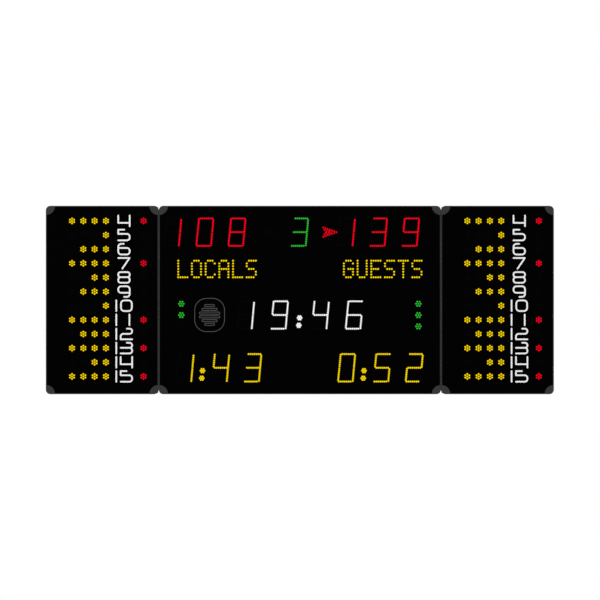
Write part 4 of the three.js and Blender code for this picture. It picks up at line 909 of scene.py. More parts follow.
def finish_mesh(shape, name, sharp_angle=None):
    """Joins doubles, turns faces outward and gives the mesh of a bmesh."""
    bmesh.ops.remove_doubles(shape, verts=shape.verts, dist=1e-6)
    bmesh.ops.recalc_face_normals(shape, faces=shape.faces)
    mesh = mesh_of(shape, name)
    if sharp_angle:
        smooth(mesh, sharp_angle)
    return mesh


print("solid helpers ready")

# %% A path with rounded corners
DEGREES_A_STEP = 11


def rounded_path(corners):
    """Points along straight runs whose corners are rounded; corners are (u, v, radius)."""
    path = [Vector(corners[0][:2])]
    for before, here, after in zip(corners, corners[1:], corners[2:]):
        place, radius = Vector(here[:2]), here[2]
        come = (place - Vector(before[:2])).normalized()
        go = (Vector(after[:2]) - place).normalized()
        if radius <= 0:
            path.append(place)
            continue
        turn = come.angle_signed(go)
        start = place - come * radius * math.tan(abs(turn) / 2)
        side = Vector((come.y, -come.x)) * (1 if turn > 0 else -1)
        middle = start + side * radius
        steps = max(2, round(abs(math.degrees(turn)) / DEGREES_A_STEP))
        for step in range(steps + 1):
            path.append(middle + Matrix.Rotation(-turn * step / steps, 2) @ (start - middle))
    path.append(Vector(corners[-1][:2]))
    return path


sample = rounded_path([(0, 0, 0), (50, 0, 20), (50, 50, 0)])
print("a path round one corner has", len(sample), "points")

# %% A flat stroke along a path
END_STEPS = 8


def stroke_solid(shape, path, width, back_y, front_y):
    """Adds an even stroke with round ends, or an even closed loop, as a closed solid."""
    looped = (path[0] - path[-1]).length < 0.001 * MM
    points = path[:-1] if looped else path

    def post(point):
        return [shape.verts.new((point.x, y, point.y)) for y in (front_y, back_y)]

    def slab(posts):
        shape.faces.new([front for front, back in posts])
        shape.faces.new([back for front, back in reversed(posts)])

    def wall(first, second):
        shape.faces.new((first[0], second[0], second[1], first[1]))

    last = len(points) - 1
    sides = []
    for index, here in enumerate(points):
        before = points[index - 1] if looped or index else here * 2 - points[1]
        after = (points[(index + 1) % len(points)] if looped or index < last
                 else here * 2 - points[-2])
        come, go = (here - before).normalized(), (after - here).normalized()
        across = Vector((-come.y - go.y, come.x + go.x)) * (width / 2 / (1 + come.dot(go)))
        sides.append((across, post(here + across), post(here - across)))
    following = sides[1:] + (sides[:1] if looped else [])
    for (_, left, right), (_, next_left, next_right) in zip(sides, following):
        slab([left, next_left, next_right, right])
        wall(left, next_left)
        wall(next_right, right)
    if looped:
        return
    for end, spoke, first, second in ((points[-1], sides[-1][0], *sides[-1][1:]),
                                      (points[0], -sides[0][0], *sides[0][:0:-1])):
        around = [post(end + Matrix.Rotation(-math.pi * step / END_STEPS, 2) @ spoke)
                  for step in range(1, END_STEPS)]
        posts = [first, *around, second]
        slab(posts)
        for near, far in zip(posts, posts[1:]):
            wall(near, far)


print("stroke helper ready")

# %% The strokes of each figure
STROKE = 10.3
TOP, LEFT, RIGHT = 35.3, -38.0, 38.0
FIGURES = {
    "0": [[(0, TOP, 0), (-36, TOP, 22), (-36, -TOP, 22), (36, -TOP, 22), (36, TOP, 22),
           (0, TOP, 0)]],
    "1": [[(0, TOP, 0), (0, -TOP, 0)]],
    "2": [[(3, TOP, 0), (RIGHT, TOP, 17), (RIGHT, 1, 17), (LEFT, 1, 17), (LEFT, -TOP, 1),
           (RIGHT, -TOP, 0)]],
    "3": [[(3, TOP, 0), (RIGHT, TOP, 16), (RIGHT, 2, 16), (LEFT, 2, 0)],
          [(0, 2, 0), (RIGHT, 2, 17), (RIGHT, -TOP, 17), (LEFT, -TOP, 0)]],
    "4": [[(LEFT, TOP, 0), (LEFT, -13, 1), (RIGHT, -13, 0)], [(RIGHT, TOP, 0), (RIGHT, -TOP, 0)]],
    "5": [[(1, TOP, 0), (LEFT, TOP, 1), (LEFT, 7.5, 1), (RIGHT, 7.5, 19), (RIGHT, -TOP, 19),
           (LEFT, -TOP, 0)]],
    "6": [[(-1, TOP, 0), (LEFT, TOP, 20), (LEFT, -TOP, 20), (RIGHT, -TOP, 20), (RIGHT, 8, 19),
           (-20, 8, 0)], [(-20, 8, 0), (LEFT, 8, 0)]],
    "7": [[(LEFT, TOP, 0), (RIGHT - 1, TOP, 1), (-11, -TOP, 0)]],
    "8": [[(0, TOP, 0), (LEFT, TOP, 15), (LEFT, 2, 15), (RIGHT, 2, 15), (RIGHT, TOP, 15),
           (0, TOP, 0)],
          [(0, 2, 0), (LEFT, 2, 17), (LEFT, -TOP, 17), (RIGHT, -TOP, 17), (RIGHT, 2, 17),
           (0, 2, 0)]],
    "9": [[(1, -TOP, 0), (RIGHT, -TOP, 20), (RIGHT, TOP, 20), (LEFT, TOP, 20), (LEFT, -8, 19),
           (20, -8, 0)], [(20, -8, 0), (RIGHT, -8, 0)]],
}
print("figures drawn:", "".join(FIGURES))

# %% Print the numbers
INK_DEPTH, INK_SUNK, LAYER_LIFT = 0.12 * MM, 0.1 * MM, 0.15
FIRST_PLAYER = 4
number_ink = surface_finish("number_ink", (0.93, 0.93, 0.93), 0.55, specular=0.3, grain=2500,
                            relief=0.2, uneven=0.03, dust=0.0)


def split_at_sharp(corners):
    """Cuts a path at corners too sharp for the stroke's width, so that each part ends round."""
    parts, current = [], corners[:1]
    for corner in corners[1:]:
        current.append(corner)
        if corner[2] < STROKE / 2:
            parts.append(current)
            current = [corner]
    return parts


def print_figure(shape, figure, x, z, front_y):
    parts = [part for corners in FIGURES[figure] for part in split_at_sharp(corners)]
    for layer, corners in enumerate(parts):
        path = [Vector((point.x * MM + x, point.y * MM + z)) for point in rounded_path(corners)]
        lift = INK_DEPTH * LAYER_LIFT * layer
        stroke_solid(shape, path, STROKE * MM, front_y + INK_SUNK - lift,
                     front_y - INK_DEPTH - lift)


SINGLE_X, TENS_X, UNITS_X, ELEVEN_X = 144.4, 93.4, 160.6, 180.6
for side, name in SIDES:
    front_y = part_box(name + "_face_panel")[0].y
    numbers = bmesh.new()
    for row in range(len(FOULS)):
        text = str(FIRST_PLAYER + row)
        z = BOARD_CENTRE.z + (FOUL_TOP - row * FOUL_PITCH) * MM
        columns = (SINGLE_X,) if len(text) == 1 else (TENS_X, ELEVEN_X if text == "11" else UNITS_X)
        for figure, x in zip(text, columns):
            print_figure(numbers, figure, (side * SIDE_X + x) * MM, z, front_y)
    piece = new_piece(name + "_numbers", finish_mesh(numbers, name + "_numbers"))
    seat(piece, name + "_door", number_ink)
    print(piece.name, "printed with", len(piece.data.polygons), "faces")

# %% [markdown]
# ## Moulded corner pieces
#
# Each corner of a cabinet's front is a tough plastic cap: a quarter disc in front and behind, a
# curved wall between them, and two tongues that plug into the profiles. The CAD model has them with
# few facets. Drawn again as plates with many points and a small chamfer, they get the soft edge
# that catches light on a moulded part. The chamfer is modelled, because it shows on the outline.

# %% A plate with softened edges
def arc(centre, radius, start, end, steps):
    """Points on an arc, with its angles in degrees."""
    turns = [math.radians(start + (end - start) * step / steps) for step in range(steps + 1)]
    return [Vector((centre[0] + radius * math.cos(turn), centre[1] + radius * math.sin(turn)))
            for turn in turns]


def inset(points, distance):
    """Moves a closed outline inward by a small distance; the outline may turn either way."""
    area = sum(a.x * b.y - b.x * a.y for a, b in zip(points, points[1:] + points[:1]))
    turned = distance if area > 0 else -distance
    moved = []
    for before, here, after in zip(points[-1:] + points, points, points[1:] + points[:1]):
        come, go = (here - before).normalized(), (after - here).normalized()
        inward = Vector((-come.y - go.y, come.x + go.x))
        moved.append(here + inward * (turned / max(0.4, 1 + come.dot(go))))
    return moved


def plate(shape, points, back_y, front_y, chamfer=0.0):
    """Adds a closed plate drawn in (x, z), whose front and back edges may be chamfered."""
    points = [Vector(point) for point in points]
    layers = [(points, front_y + chamfer), (points, back_y - chamfer)]
    if chamfer:
        inner = inset(points, chamfer)
        layers = [(inner, front_y), *layers, (inner, back_y)]
    skin(shape, [[(p.x, y, p.y) for p in ring] for ring, y in layers])


print("plate helpers ready")

# %% Mould the twelve corners
DOOR_FRONT, DOOR_BACK = -82.3, -46.3
CORNER_REACH, CORNER_ROUND, CORNER_WALL = 61.0, 30.0, 2.0
TONGUE = (46.0, 86.0, 2.3, 10.3)
TONGUE_DEPTH = (-48.6 * MM, -73.4 * MM)
CHAMFER = 0.5
CABINETS = {"main": (0.0, 1872.0), "left": (-SIDE_X, 748.0), "right": (SIDE_X, 748.0)}
HALF_HEIGHT = 625.0


def corner_cap(name, cabinet_x, width, side_x, side_z):
    def placed(points):
        return [((cabinet_x + side_x * (width / 2 - u)) * MM,
                 BOARD_CENTRE.z + side_z * (HALF_HEIGHT - v) * MM) for u, v in points]

    centre = (CORNER_ROUND, CORNER_ROUND)
    outside = arc(centre, CORNER_ROUND, 270, 180, 14)
    disc = outside + arc((0, 0), CORNER_REACH, 90, 0, 22)
    inside = arc(centre, CORNER_ROUND - CORNER_WALL, 180, 270, 14)
    wall = [(CORNER_REACH, 0), *outside, (0, CORNER_REACH), (CORNER_WALL, CORNER_REACH), *inside,
            (CORNER_REACH, CORNER_WALL)]
    shape = bmesh.new()
    front, back, sheet = DOOR_FRONT * MM, DOOR_BACK * MM, CORNER_WALL * MM
    plate(shape, placed(disc), front + sheet, front, CHAMFER * MM)
    plate(shape, placed(disc), back, back - sheet, CHAMFER * MM)
    plate(shape, placed(wall), back - sheet / 2, front + sheet / 2)
    near, far, low, high = TONGUE
    for tongue in ([(near, low), (far, low), (far, high), (near, high)],
                   [(low, near), (high, near), (high, far), (low, far)]):
        plate(shape, placed(tongue), *TONGUE_DEPTH, CHAMFER * MM)
    return new_piece(name, finish_mesh(shape, name, 40))


for cabinet, (cabinet_x, width) in CABINETS.items():
    for side_z, level in ((1, "top"), (-1, "bottom")):
        for side_x, hand in SIDES:
            node = f"{cabinet}_{level}_{hand}_corner"
            cap = corner_cap(node + "_cap", cabinet_x, width, side_x, side_z)
            seat(cap, cabinet + "_door", corner_plastic)
            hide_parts(node)
print("twelve corner caps moulded")

# %% [markdown]
# ## Beads of the horn grille
#
# The horn's grille is black on a black face. What shows is a raised bead round its edge and one
# round each of the six slots, a little lighter than the rest, as painted highlight for the light a
# raised bead catches. A bead is a flat half-round swept along a closed path, which is just what
# Curve to Mesh does. The path lies in a plane, so the tree keeps its normals upright and then turns
# the whole bead to the front.

# %% The bead tree
bead_tree, given = geometry_tree("raised_beads", [
    ("Bead Width", FLOAT), ("Bead Rise", FLOAT), ("Plane", FLOAT),
    ("Finish", "NodeSocketMaterial")])
bead_path = add_node(bead_tree, "GeometryNodeMeshToCurve", Mesh=given["Geometry"])
upright = add_node(bead_tree, "GeometryNodeSetCurveNormal", mode="Z_UP", Curve=bead_path)
section = add_node(bead_tree, "GeometryNodeCurvePrimitiveCircle", Resolution=12, Radius=1.0)
half_width = calculate(bead_tree, "MULTIPLY", given["Bead Width"], 0.5)
section_scale = add_node(bead_tree, "ShaderNodeCombineXYZ", X=half_width, Z=1.0,
                         Y=given["Bead Rise"])
section_shape = add_node(bead_tree, "GeometryNodeTransform", Geometry=section,
                         Scale=section_scale)
swept = add_node(bead_tree, "GeometryNodeCurveToMesh", Curve=upright,
                 Profile_Curve=section_shape)
bead_place = add_node(bead_tree, "ShaderNodeCombineXYZ", Y=given["Plane"])
bead_front = add_node(bead_tree, "GeometryNodeTransform", Rotation=(math.radians(90), 0, 0),
                      Geometry=swept, Translation=bead_place)
end_tree(bead_tree, bead_front, given["Finish"])

# %% Helpers for paths and loops
def strings_mesh(name, paths, closed=False):
    """A mesh of edges along each path, closed to a loop or open; points in mm."""
    points, edges = [], []
    for path in paths:
        first = len(points)
        points += [tuple(c * MM for c in point) for point in path]
        edges += [(index, index + 1) for index in range(first, len(points) - 1)]
        if closed:
            edges.append((len(points) - 1, first))
    mesh = bpy.data.meshes.new(name)
    mesh.from_pydata(points, edges, [])
    return mesh


def rounded_loop(x, z, half_width, half_height, radius, steps):
    corners = ((1, 1, 0), (-1, 1, 90), (-1, -1, 180), (1, -1, 270))
    return [point for sign_x, sign_z, start in corners for point in arc(
        (x + sign_x * (half_width - radius), z + sign_z * (half_height - radius)),
        radius, start, start + 90, steps)]


print("path helpers ready")

# %% Lay the beads
HORN_X, HORN_Z = -598.9, CABINET_Z + CLOCK_ROW
GRILLE_FRONT = -82.0
GRILLE_HALF, GRILLE_ROUND = (99, 110.2), 78
SLOT_LENGTHS = (62, 98, 133, 133, 98, 62)
SLOT_SPACING, SLOT_MARGIN = 24.9, 1.7
SLOT_HALF_HEIGHT, SLOT_ROUND = 7.2, 7.15
BEAD_WIDTH, BEAD_RISE = 3.7, 0.27
loops = [rounded_loop(HORN_X, HORN_Z, *GRILLE_HALF, GRILLE_ROUND, 14)]
for index, length in enumerate(SLOT_LENGTHS):
    z = HORN_Z + ((len(SLOT_LENGTHS) - 1) / 2 - index) * SLOT_SPACING
    loops.append(rounded_loop(HORN_X, z, length / 2 + SLOT_MARGIN, SLOT_HALF_HEIGHT, SLOT_ROUND, 8))
flat_loops = [[(p.x, p.y, 0) for p in loop] for loop in loops]
beads = grow("horn_grille_beads", strings_mesh("horn_grille_beads", flat_loops, closed=True),
             bead_tree, Bead_Width=BEAD_WIDTH * MM, Bead_Rise=BEAD_RISE * MM,
             Plane=GRILLE_FRONT * MM, Finish=grille_bead)
smooth(beads.data)
seat(beads, "main_door")
print(len(loops), "beads, out to", round(min(v.co.y for v in beads.data.vertices) / MM, 2), "mm")

# %% [markdown]
# ## Small parts that repeat
#
# Screws, rivets, chips and solder points come in dozens or thousands. Each kind is one small
# template, and a single tree sets copies of it on a cloud of points. Every point carries how the
# copy is turned and how large it is, so one tree serves them all. Turned parts, like screw heads,
# come from a short profile; six-sided recesses only need every other point pulled in.

# %% The tree for copies
copy_tree, given = geometry_tree("copies_on_places", [
    ("Template", "NodeSocketObject"), ("Finish", "NodeSocketMaterial")])
template_node = add_node(copy_tree, "GeometryNodeObjectInfo", Object=given["Template"])
turn_mark, size_mark = (
    add_node(copy_tree, "GeometryNodeInputNamedAttribute", data_type="FLOAT_VECTOR", Name=name)
    for name in ("turn", "size"))
turn_value = add_node(copy_tree, "FunctionNodeEulerToRotation", Euler=turn_mark)
set_down = add_node(copy_tree, "GeometryNodeInstanceOnPoints", Points=given["Geometry"],
                    Instance=template_node.outputs["Geometry"], Rotation=turn_value,
                    Scale=size_mark)
end_tree(copy_tree, set_down, given["Finish"])

# %% Set copies of a template on places
QUARTER = math.pi / 2
FACING_FRONT, FACING_BACK = (QUARTER, 0.0, 0.0), (-QUARTER, 0.0, 0.0)
FACING_RIGHT, FACING_LEFT = (0.0, QUARTER, 0.0), (0.0, -QUARTER, 0.0)


def copies(name, template, places, body, finish, turn=FACING_FRONT, size=1.0):
    """Copies of a template mesh, drawn in mm; places are (x, y, z) in mm, or (x, y, z, turn)."""
    model = new_piece(name + "_template", template.copy())
    mesh = bpy.data.meshes.new(name)
    mesh.from_pydata([tuple(c * MM for c in place[:3]) for place in places], [], [])
    turns = [angle for place in places for angle in (place[3] if len(place) > 3 else turn)]
    sizes = [size * MM for place in places for axis in "xyz"]
    for title, values in (("turn", turns), ("size", sizes)):
        mesh.attributes.new(title, "FLOAT_VECTOR", "POINT").data.foreach_set("vector", values)
    piece = grow(name, mesh, copy_tree, Template=model, Finish=finish)
    bpy.data.objects.remove(model)
    print(name + ":", len(places), "copies,", len(piece.data.polygons), "faces")
    return seat(piece, body)


def four_corners(x, y, z, reach_x, reach_z):
    """Places at the corners of an upright rectangle, given by its middle and its reach."""
    return [(x + side * reach_x, y, z + level * reach_z) for side in (-1, 1) for level in (-1, 1)]


print("the copies tree is ready for use")

# %% Helpers for templates
def turned_template(name, profile, sides=12, sharp_angle=35):
    """A closed solid turned about Z; a point is (radius, height) or (radius, height, six_sided)."""
    shape = bmesh.new()
    rings = []
    for radius, height, *six_sided in profile:
        ring = []
        for step in range(sides if radius else 1):
            reach = radius * (math.cos(math.pi / 6) if six_sided and step % 2 else 1)
            turn = math.tau * step / sides
            ring.append(shape.verts.new((reach * math.cos(turn), reach * math.sin(turn), height)))
        rings.append(ring)
    for first, second in zip(rings, rings[1:]):
        for step in range(sides):
            after = (step + 1) % sides
            face = [first[step % len(first)], first[after % len(first)],
                    second[after % len(second)], second[step % len(second)]]
            shape.faces.new(list(dict.fromkeys(face)))
    return finish_mesh(shape, name, sharp_angle)


def add_soft_box(shape, size, chamfer, place):
    """Adds a box with chamfered edges, moved and turned by a matrix, to a bmesh."""
    box = bmesh.ops.create_cube(shape, size=1.0, matrix=place @ Matrix.Diagonal((*size, 1)))
    edges = list({edge for vert in box["verts"] for edge in vert.link_edges})
    bmesh.ops.bevel(shape, geom=edges, offset=chamfer, segments=1, profile=0.5, affect="EDGES")


def box_template(name, width, depth, height, chamfer, *extra_boxes):
    """A chamfered box standing on z = 0, and more boxes given as (centre, size)."""
    shape = bmesh.new()
    add_soft_box(shape, (width, depth, height), chamfer, Matrix.Translation((0, 0, height / 2)))
    for centre, size in extra_boxes:
        add_soft_box(shape, size, chamfer / 2, Matrix.Translation(centre))
    return mesh_of(shape, name)


def boxes_piece(name, boxes, chamfer, body, finish):
    """A piece of chamfered boxes given by their (x, y, z) limits in mm."""
    shape = bmesh.new()
    for limits in boxes:
        centre = [(low + high) / 2 * MM for low, high in limits]
        size = [abs(high - low) * MM for low, high in limits]
        add_soft_box(shape, size, chamfer * MM, Matrix.Translation(centre))
    return seat(new_piece(name, mesh_of(shape, name)), body, finish)


print("template helpers ready")

# %% Templates
SCREW = turned_template("screw", [(0, 0), (1, 0), (1, 0.14), (0.9, 0.4), (0.62, 0.56),
                                  (0.4, 0.56, True), (0.38, 0.2, True), (0, 0.2)])
BOLT = turned_template("bolt", [(0, 0), (1.3, 0), (1.3, 0.2), (0.92, 0.2, True),
                                (0.92, 0.78, True), (0.8, 0.9, True), (0, 0.9)])
RIVET = turned_template("rivet", [(0, 0), (1, 0), (0.92, 0.28), (0.62, 0.5), (0.2, 0.57),
                                  (0.14, 0.45), (0, 0.45)])
SOLDER = turned_template("solder", [(0, 0), (1, 0), (0.45, 0.6), (0, 0.9)], 6, 80)
CAN = turned_template("can", [(0, 0), (1, 0), (1, 0.12), (0.9, 0.18), (1, 0.24), (1, 1.85),
                              (0.92, 2), (0.78, 2), (0.74, 1.95), (0, 1.95)], 16)
KNOCK_OUT = turned_template("knock_out", [(0, 0), (14, 0), (14, 0.5), (13.4, 0.9), (11.6, 0.9),
                                          (11.2, 0.4), (10.6, 0.4), (10.2, 0.8), (0, 0.8)], 32)
CHIP = box_template("chip", 12.8, 7.5, 2.5, 0.35)
CHIP_LEGS = box_template("chip_legs", 12.2, 9.9, 0.3, 0.08, *[
    ((-5.4 + 1.2 * leg, side * 4.3, 0.75), (0.45, 1.3, 1.2))
    for leg in range(10) for side in (-1, 1)])
RESISTOR = box_template("resistor", 2.2, 1.4, 0.7, 0.12)
HEADER_HEIGHT = 9.0
HEADER = box_template("header", 20.3, 8.9, HEADER_HEIGHT, 0.5)
SOCKET = box_template("socket", 17.5, 6.2, 5.6, 0.5, ((0, 0, 4.6), (18.6, 4.2, 2.0)))
print("templates: screw, bolt, rivet, solder, can, knock-out, chip, resistor, header, socket")

# %% [markdown]
# ## Finishes of the small parts
#
# Chips are matt epoxy, connectors glossier nylon, aluminium cans bright with a sleeve. Solder is a
# soft grey mirror. They use the common recipe with other numbers, so a line or two gives each.

# %% Finishes inside the doors
def small_finish(name, colour, roughness, grain, relief, dust=0.1, **more):
    return surface_finish(name, colour, roughness, grain=grain, relief=relief, dust=dust, **more)


def sheath(name, colour, dust=0.1, roughness=0.5):
    return small_finish(name, colour, roughness, 1500, 0.1, dust)


chip_epoxy = small_finish("chip_epoxy", (0.012, 0.012, 0.013), 0.6, 4000, 0.2)
connector_nylon = small_finish("connector_nylon", (0.02, 0.02, 0.022), 0.38, 3000, 0.08)
pale_nylon = small_finish("pale_nylon", (0.62, 0.61, 0.57), 0.42, 2500, 0.08, 0.15)
ceramic_film = small_finish("ceramic_film", (0.05, 0.045, 0.04), 0.4, 3500, 0.1, 0.0)
can_sleeve = small_finish("can_sleeve", (0.012, 0.016, 0.03), 0.28, 3000, 0.05)
solder_tin = small_finish("solder_tin", (0.52, 0.53, 0.54), 0.32, 3000, 0.1, 0.0, metallic=1.0)
ribbon_sheath = sheath("ribbon_sheath", (0.27, 0.275, 0.28), 0.15, 0.55)
red_sheath = sheath("red_sheath", (0.36, 0.02, 0.015))
blue_sheath = sheath("blue_sheath", (0.012, 0.05, 0.24))
live_sheath = sheath("live_sheath", (0.11, 0.04, 0.014))
earth_sheath = sheath("earth_sheath", (0.06, 0.2, 0.02))
plate_aluminium = small_finish("plate_aluminium", (0.6, 0.6, 0.6), 0.38, 900, 0.05, metallic=1.0,
                               uneven=0.08, streaks=(0.02, 1, 1))
steel_screw = small_finish("steel_screw", (0.36, 0.36, 0.37), 0.35, 2500, 0.08, metallic=1.0,
                           worn=(0.6, 0.6, 0.6), edge_width=0.0004)
black_screw = small_finish("black_screw", (0.014, 0.014, 0.015), 0.42, 2500, 0.1, metallic=0.4,
                           worn=(0.1, 0.1, 0.1), edge_width=0.0004, wear=0.4)
print("small finishes ready")

# %% [markdown]
# ## Backs of the display boards
#
# With a door open, the boards show their green backs: two solder points for every LED, a driver
# chip and its resistors in the middle of each digit, and a socket that the ribbon cable plugs into.
# The LED places are known already, so the solder points follow from them.

# %% Solder points
SOLDER_RADIUS = 1.1
LEG_SPACING = 2.54
for board, points in soldered.items():
    door = board.split("_")[0] + "_door" if board.endswith("foul_board") else "main_door"
    dots = [(x / MM + side * LEG_SPACING / 2, BOARD_BACK, z / MM)
            for x, z in points for side in (-1, 1)]
    copies(board + "_solder", SOLDER, dots, door, solder_tin, FACING_BACK, SOLDER_RADIUS)

# %% Places of the chips and sockets on each board
SOCKET_DROP, DIGIT_OFFSET = 45.0, 4.5
FOUL_SOCKET_X, NAME_GAPS = 150.0, range(-2, 3)
DIGIT_ROWS = {"score": (SCORE_ROW, (*HOME_SCORE_X, 0, *GUEST_SCORE_X)),
              "clock": (CLOCK_ROW, CLOCK_X),
              "timer": (TIMER_ROW, (*HOME_TIMER_X, *GUEST_TIMER_X))}
name_chips = [(start + gap * LETTER_PITCH, CABINET_Z + NAME_ROW)
              for start in (-NAME_X, NAME_X) for gap in NAME_GAPS]
chip_places, socket_places = {"main": []}, {"main": []}
for row_z, columns in DIGIT_ROWS.values():
    for x in columns:
        chip_places["main"].append((x + DIGIT_OFFSET, CABINET_Z + row_z + SOCKET_DROP))
        socket_places["main"].append((x - DIGIT_OFFSET, CABINET_Z + row_z - SOCKET_DROP))
foul_gaps = [CABINET_Z + FOUL_TOP - (row + 0.5) * FOUL_PITCH for row in range(len(FOULS) - 1)]
for side, name in SIDES:
    chip_places[name] = [(side * SIDE_X + x, z) for z in foul_gaps for x in FOUL_COLUMNS[1::2]]
    socket_places[name] = [(side * SIDE_X + FOUL_SOCKET_X, z) for z in foul_gaps[::2]]
print({name: len(found) for name, found in chip_places.items()}, "chips beside the name lines'")

# %% Chips, resistors, cans and sockets
UPRIGHT_CHIP = (-QUARTER, QUARTER, 0.0)
for cabinet, found in chip_places.items():
    body = cabinet + "_door"
    chips = [(x, BOARD_BACK, z, FACING_BACK) for x, z in found]
    if cabinet == "main":
        chips += [(x, BOARD_BACK, z, UPRIGHT_CHIP) for x, z in name_chips]
    resistors = [(x - 7.5 + 3 * step, BOARD_BACK, z - 10) for x, z in found for step in range(6)]
    cans = [(x + 14, BOARD_BACK, z + 1) for x, z in found]
    headers = [(x, BOARD_BACK, z) for x, z in socket_places[cabinet]]
    sockets = [(x, y + HEADER_HEIGHT, z) for x, y, z in headers]
    for kind, template, places, finish, size in (
            ("driver_chips", CHIP, chips, chip_epoxy, 1.0),
            ("chip_legs", CHIP_LEGS, chips, solder_tin, 1.0),
            ("resistors", RESISTOR, resistors, ceramic_film, 1.0),
            ("board_cans", CAN, cans, can_sleeve, 3.2),
            ("headers", HEADER, headers, connector_nylon, 1.0),
            ("ribbon_sockets", SOCKET, sockets, chip_epoxy, 1.0)):
        copies(f"{cabinet}_{kind}", template, places, body, finish, FACING_BACK, size)

# %% [markdown]
# ## Ribbon cables and looms
#
# A ribbon cable is a row of thin wires side by side, the first one red. Each wire is a path; Curve
# to Mesh sweeps a small circle along it. The same tree makes the round wires of the power loom in
# the casing. They all lie on a board, a face sheet or a floor, so nothing here swings freely.

# %% The wire tree
wire_tree, given = geometry_tree("wires_on_paths", [
    ("Wire Radius", FLOAT), ("Corner Radius", FLOAT), ("Sides", "NodeSocketInt"),
    ("Finish", "NodeSocketMaterial")])
wire_path = add_node(wire_tree, "GeometryNodeMeshToCurve", Mesh=given["Geometry"])
wire_bend = add_node(wire_tree, "GeometryNodeFilletCurve", mode="POLY", Count=5, Limit_Radius=True,
                     Curve=wire_path, Radius=given["Corner Radius"])
wire_round = add_node(wire_tree, "GeometryNodeCurvePrimitiveCircle", Resolution=given["Sides"],
                      Radius=given["Wire Radius"])
wire_swept = add_node(wire_tree, "GeometryNodeCurveToMesh", Fill_Caps=True,
                      Curve=wire_bend, Profile_Curve=wire_round)
wire_smooth = add_node(wire_tree, "GeometryNodeSetShadeSmooth", Geometry=wire_swept)
end_tree(wire_tree, wire_smooth, given["Finish"])


# %% Lay wires along paths
def wires(name, paths, radius, body, finish, corner_radius=4.0, sides=8):
    """Round wires along paths of (x, y, z) points, all in mm."""
    piece = grow(name, strings_mesh(name, paths), wire_tree, Wire_Radius=radius * MM,
                 Corner_Radius=corner_radius * MM, Sides=sides, Finish=finish)
    return seat(piece, body)


WAYS, WIRE_PITCH, WIRE_RADIUS, RIBBON_BEND = 14, 1.27, 0.66, 1.5


def ribbon(name, path, across, body):
    """Two pieces: a red edge wire and the grey rest, offset along the axis named in across."""
    axis = "xyz".index(across)
    runs = []
    for way in range(WAYS):
        shift = (way - (WAYS - 1) / 2) * WIRE_PITCH
        runs.append([tuple(c + (shift if index == axis else 0) for index, c in enumerate(point))
                     for point in path])
    for kind, part, finish in (("red_wire", runs[:1], red_sheath),
                               ("grey_wires", runs[1:], ribbon_sheath)):
        wires(f"{name}_{kind}", part, WIRE_RADIUS, body, finish, RIBBON_BEND, 6)
    print(name, "laid over", len(path), "points")


print("a ribbon has", WAYS, "wires")

# %% Ribbons behind the wide cabinet's displays
RIBBON_HIGH = BOARD_BACK + HEADER_HEIGHT + 5.2
RIBBON_LOW, TRUNK_RISE = -75.2, 1.2
TRUNK_X, TRUNK_SPARE = -886.0, 8
RAMP_START, RAMP_LENGTH, SPARE_END = 40, 12, 10
for row, (row_z, columns) in DIGIT_ROWS.items():
    z = CABINET_Z + row_z - SOCKET_DROP
    first = columns[0] - DIGIT_OFFSET - RAMP_START
    start = [(TRUNK_X, RIBBON_LOW, z), (first, RIBBON_LOW, z),
             (first + RAMP_LENGTH, RIBBON_HIGH, z)]
    if row == "clock":
        start = [(columns[0] - 22, RIBBON_HIGH, z)]
    ribbon(row + "_ribbon", start + [(columns[-1] + SPARE_END, RIBBON_HIGH, z)], "z", "main_door")
trunk_ends = [(TRUNK_X, RIBBON_LOW + TRUNK_RISE, CABINET_Z + row_z - SOCKET_DROP + spare)
              for row_z, spare in ((TIMER_ROW, -TRUNK_SPARE), (SCORE_ROW, TRUNK_SPARE))]
ribbon("trunk_ribbon", trunk_ends, "x", "main_door")
for side, name in SIDES:
    ends = [(side * SIDE_X + FOUL_SOCKET_X, RIBBON_HIGH, z)
            for z in (foul_gaps[0] + SPARE_END, foul_gaps[-1] - SPARE_END)]
    ribbon(name + "_foul_ribbon", ends, "x", name + "_door")

# %% [markdown]
# ## Inside the casings
#
# The casings are wide trays of thin sheet, so pressed hats riveted to their floors keep them flat.
# A hat is one bent section with a real sheet thickness, drawn as an outline and pulled upright. The
# rivets follow along both of its flanges.

# %% Hat stiffeners
FLOOR_Y = -13.5
HAT_SHEET = 1.2
HAT_SECTION = [(-30, 0), (-30, -HAT_SHEET), (-16.2, -HAT_SHEET), (-13.2, -14), (13.2, -14),
               (16.2, -HAT_SHEET), (30, -HAT_SHEET), (30, 0), (15, 0), (12, -12.8), (-12, -12.8),
               (-15, 0)]
HAT_RIVET_X, HAT_RIVET_PITCH = 23.0, 93.0
HAT_TOP = 570
HAT_PLACES = {"main": ((-500, 0, 500), -360), "left": ((0,), -570), "right": ((0,), -570)}
for cabinet, (middles, low) in HAT_PLACES.items():
    shape = bmesh.new()
    rivets = []
    count = round((HAT_TOP - low) / HAT_RIVET_PITCH)
    for middle in middles:
        x = CABINETS[cabinet][0] + middle
        skin(shape, [[((x + u) * MM, (FLOOR_Y + v) * MM, (CABINET_Z + z) * MM)
                      for u, v in HAT_SECTION] for z in (low, HAT_TOP)])
        rivets += [(x + side * HAT_RIVET_X, FLOOR_Y - HAT_SHEET,
                    CABINET_Z + low + (index + 0.5) * (HAT_TOP - low) / count)
                   for index in range(count) for side in (-1, 1)]
    name = cabinet + "_hats"
    seat(new_piece(name, finish_mesh(shape, name)), "cabinets", casing_paint)
    copies(cabinet + "_hat_rivets", RIVET, rivets, "cabinets", steel_screw, size=2.6)
    print(cabinet, "has", len(middles), "hats")

# %% [markdown]
# ## Outside of the casings
#
# From behind one sees the hooks on the rail, rows of louvres over the vents, and rivets along the
# folded sides. The louvres are small hoods that shed dust and dripping water. They repeat, so one
# hood is drawn and copied.

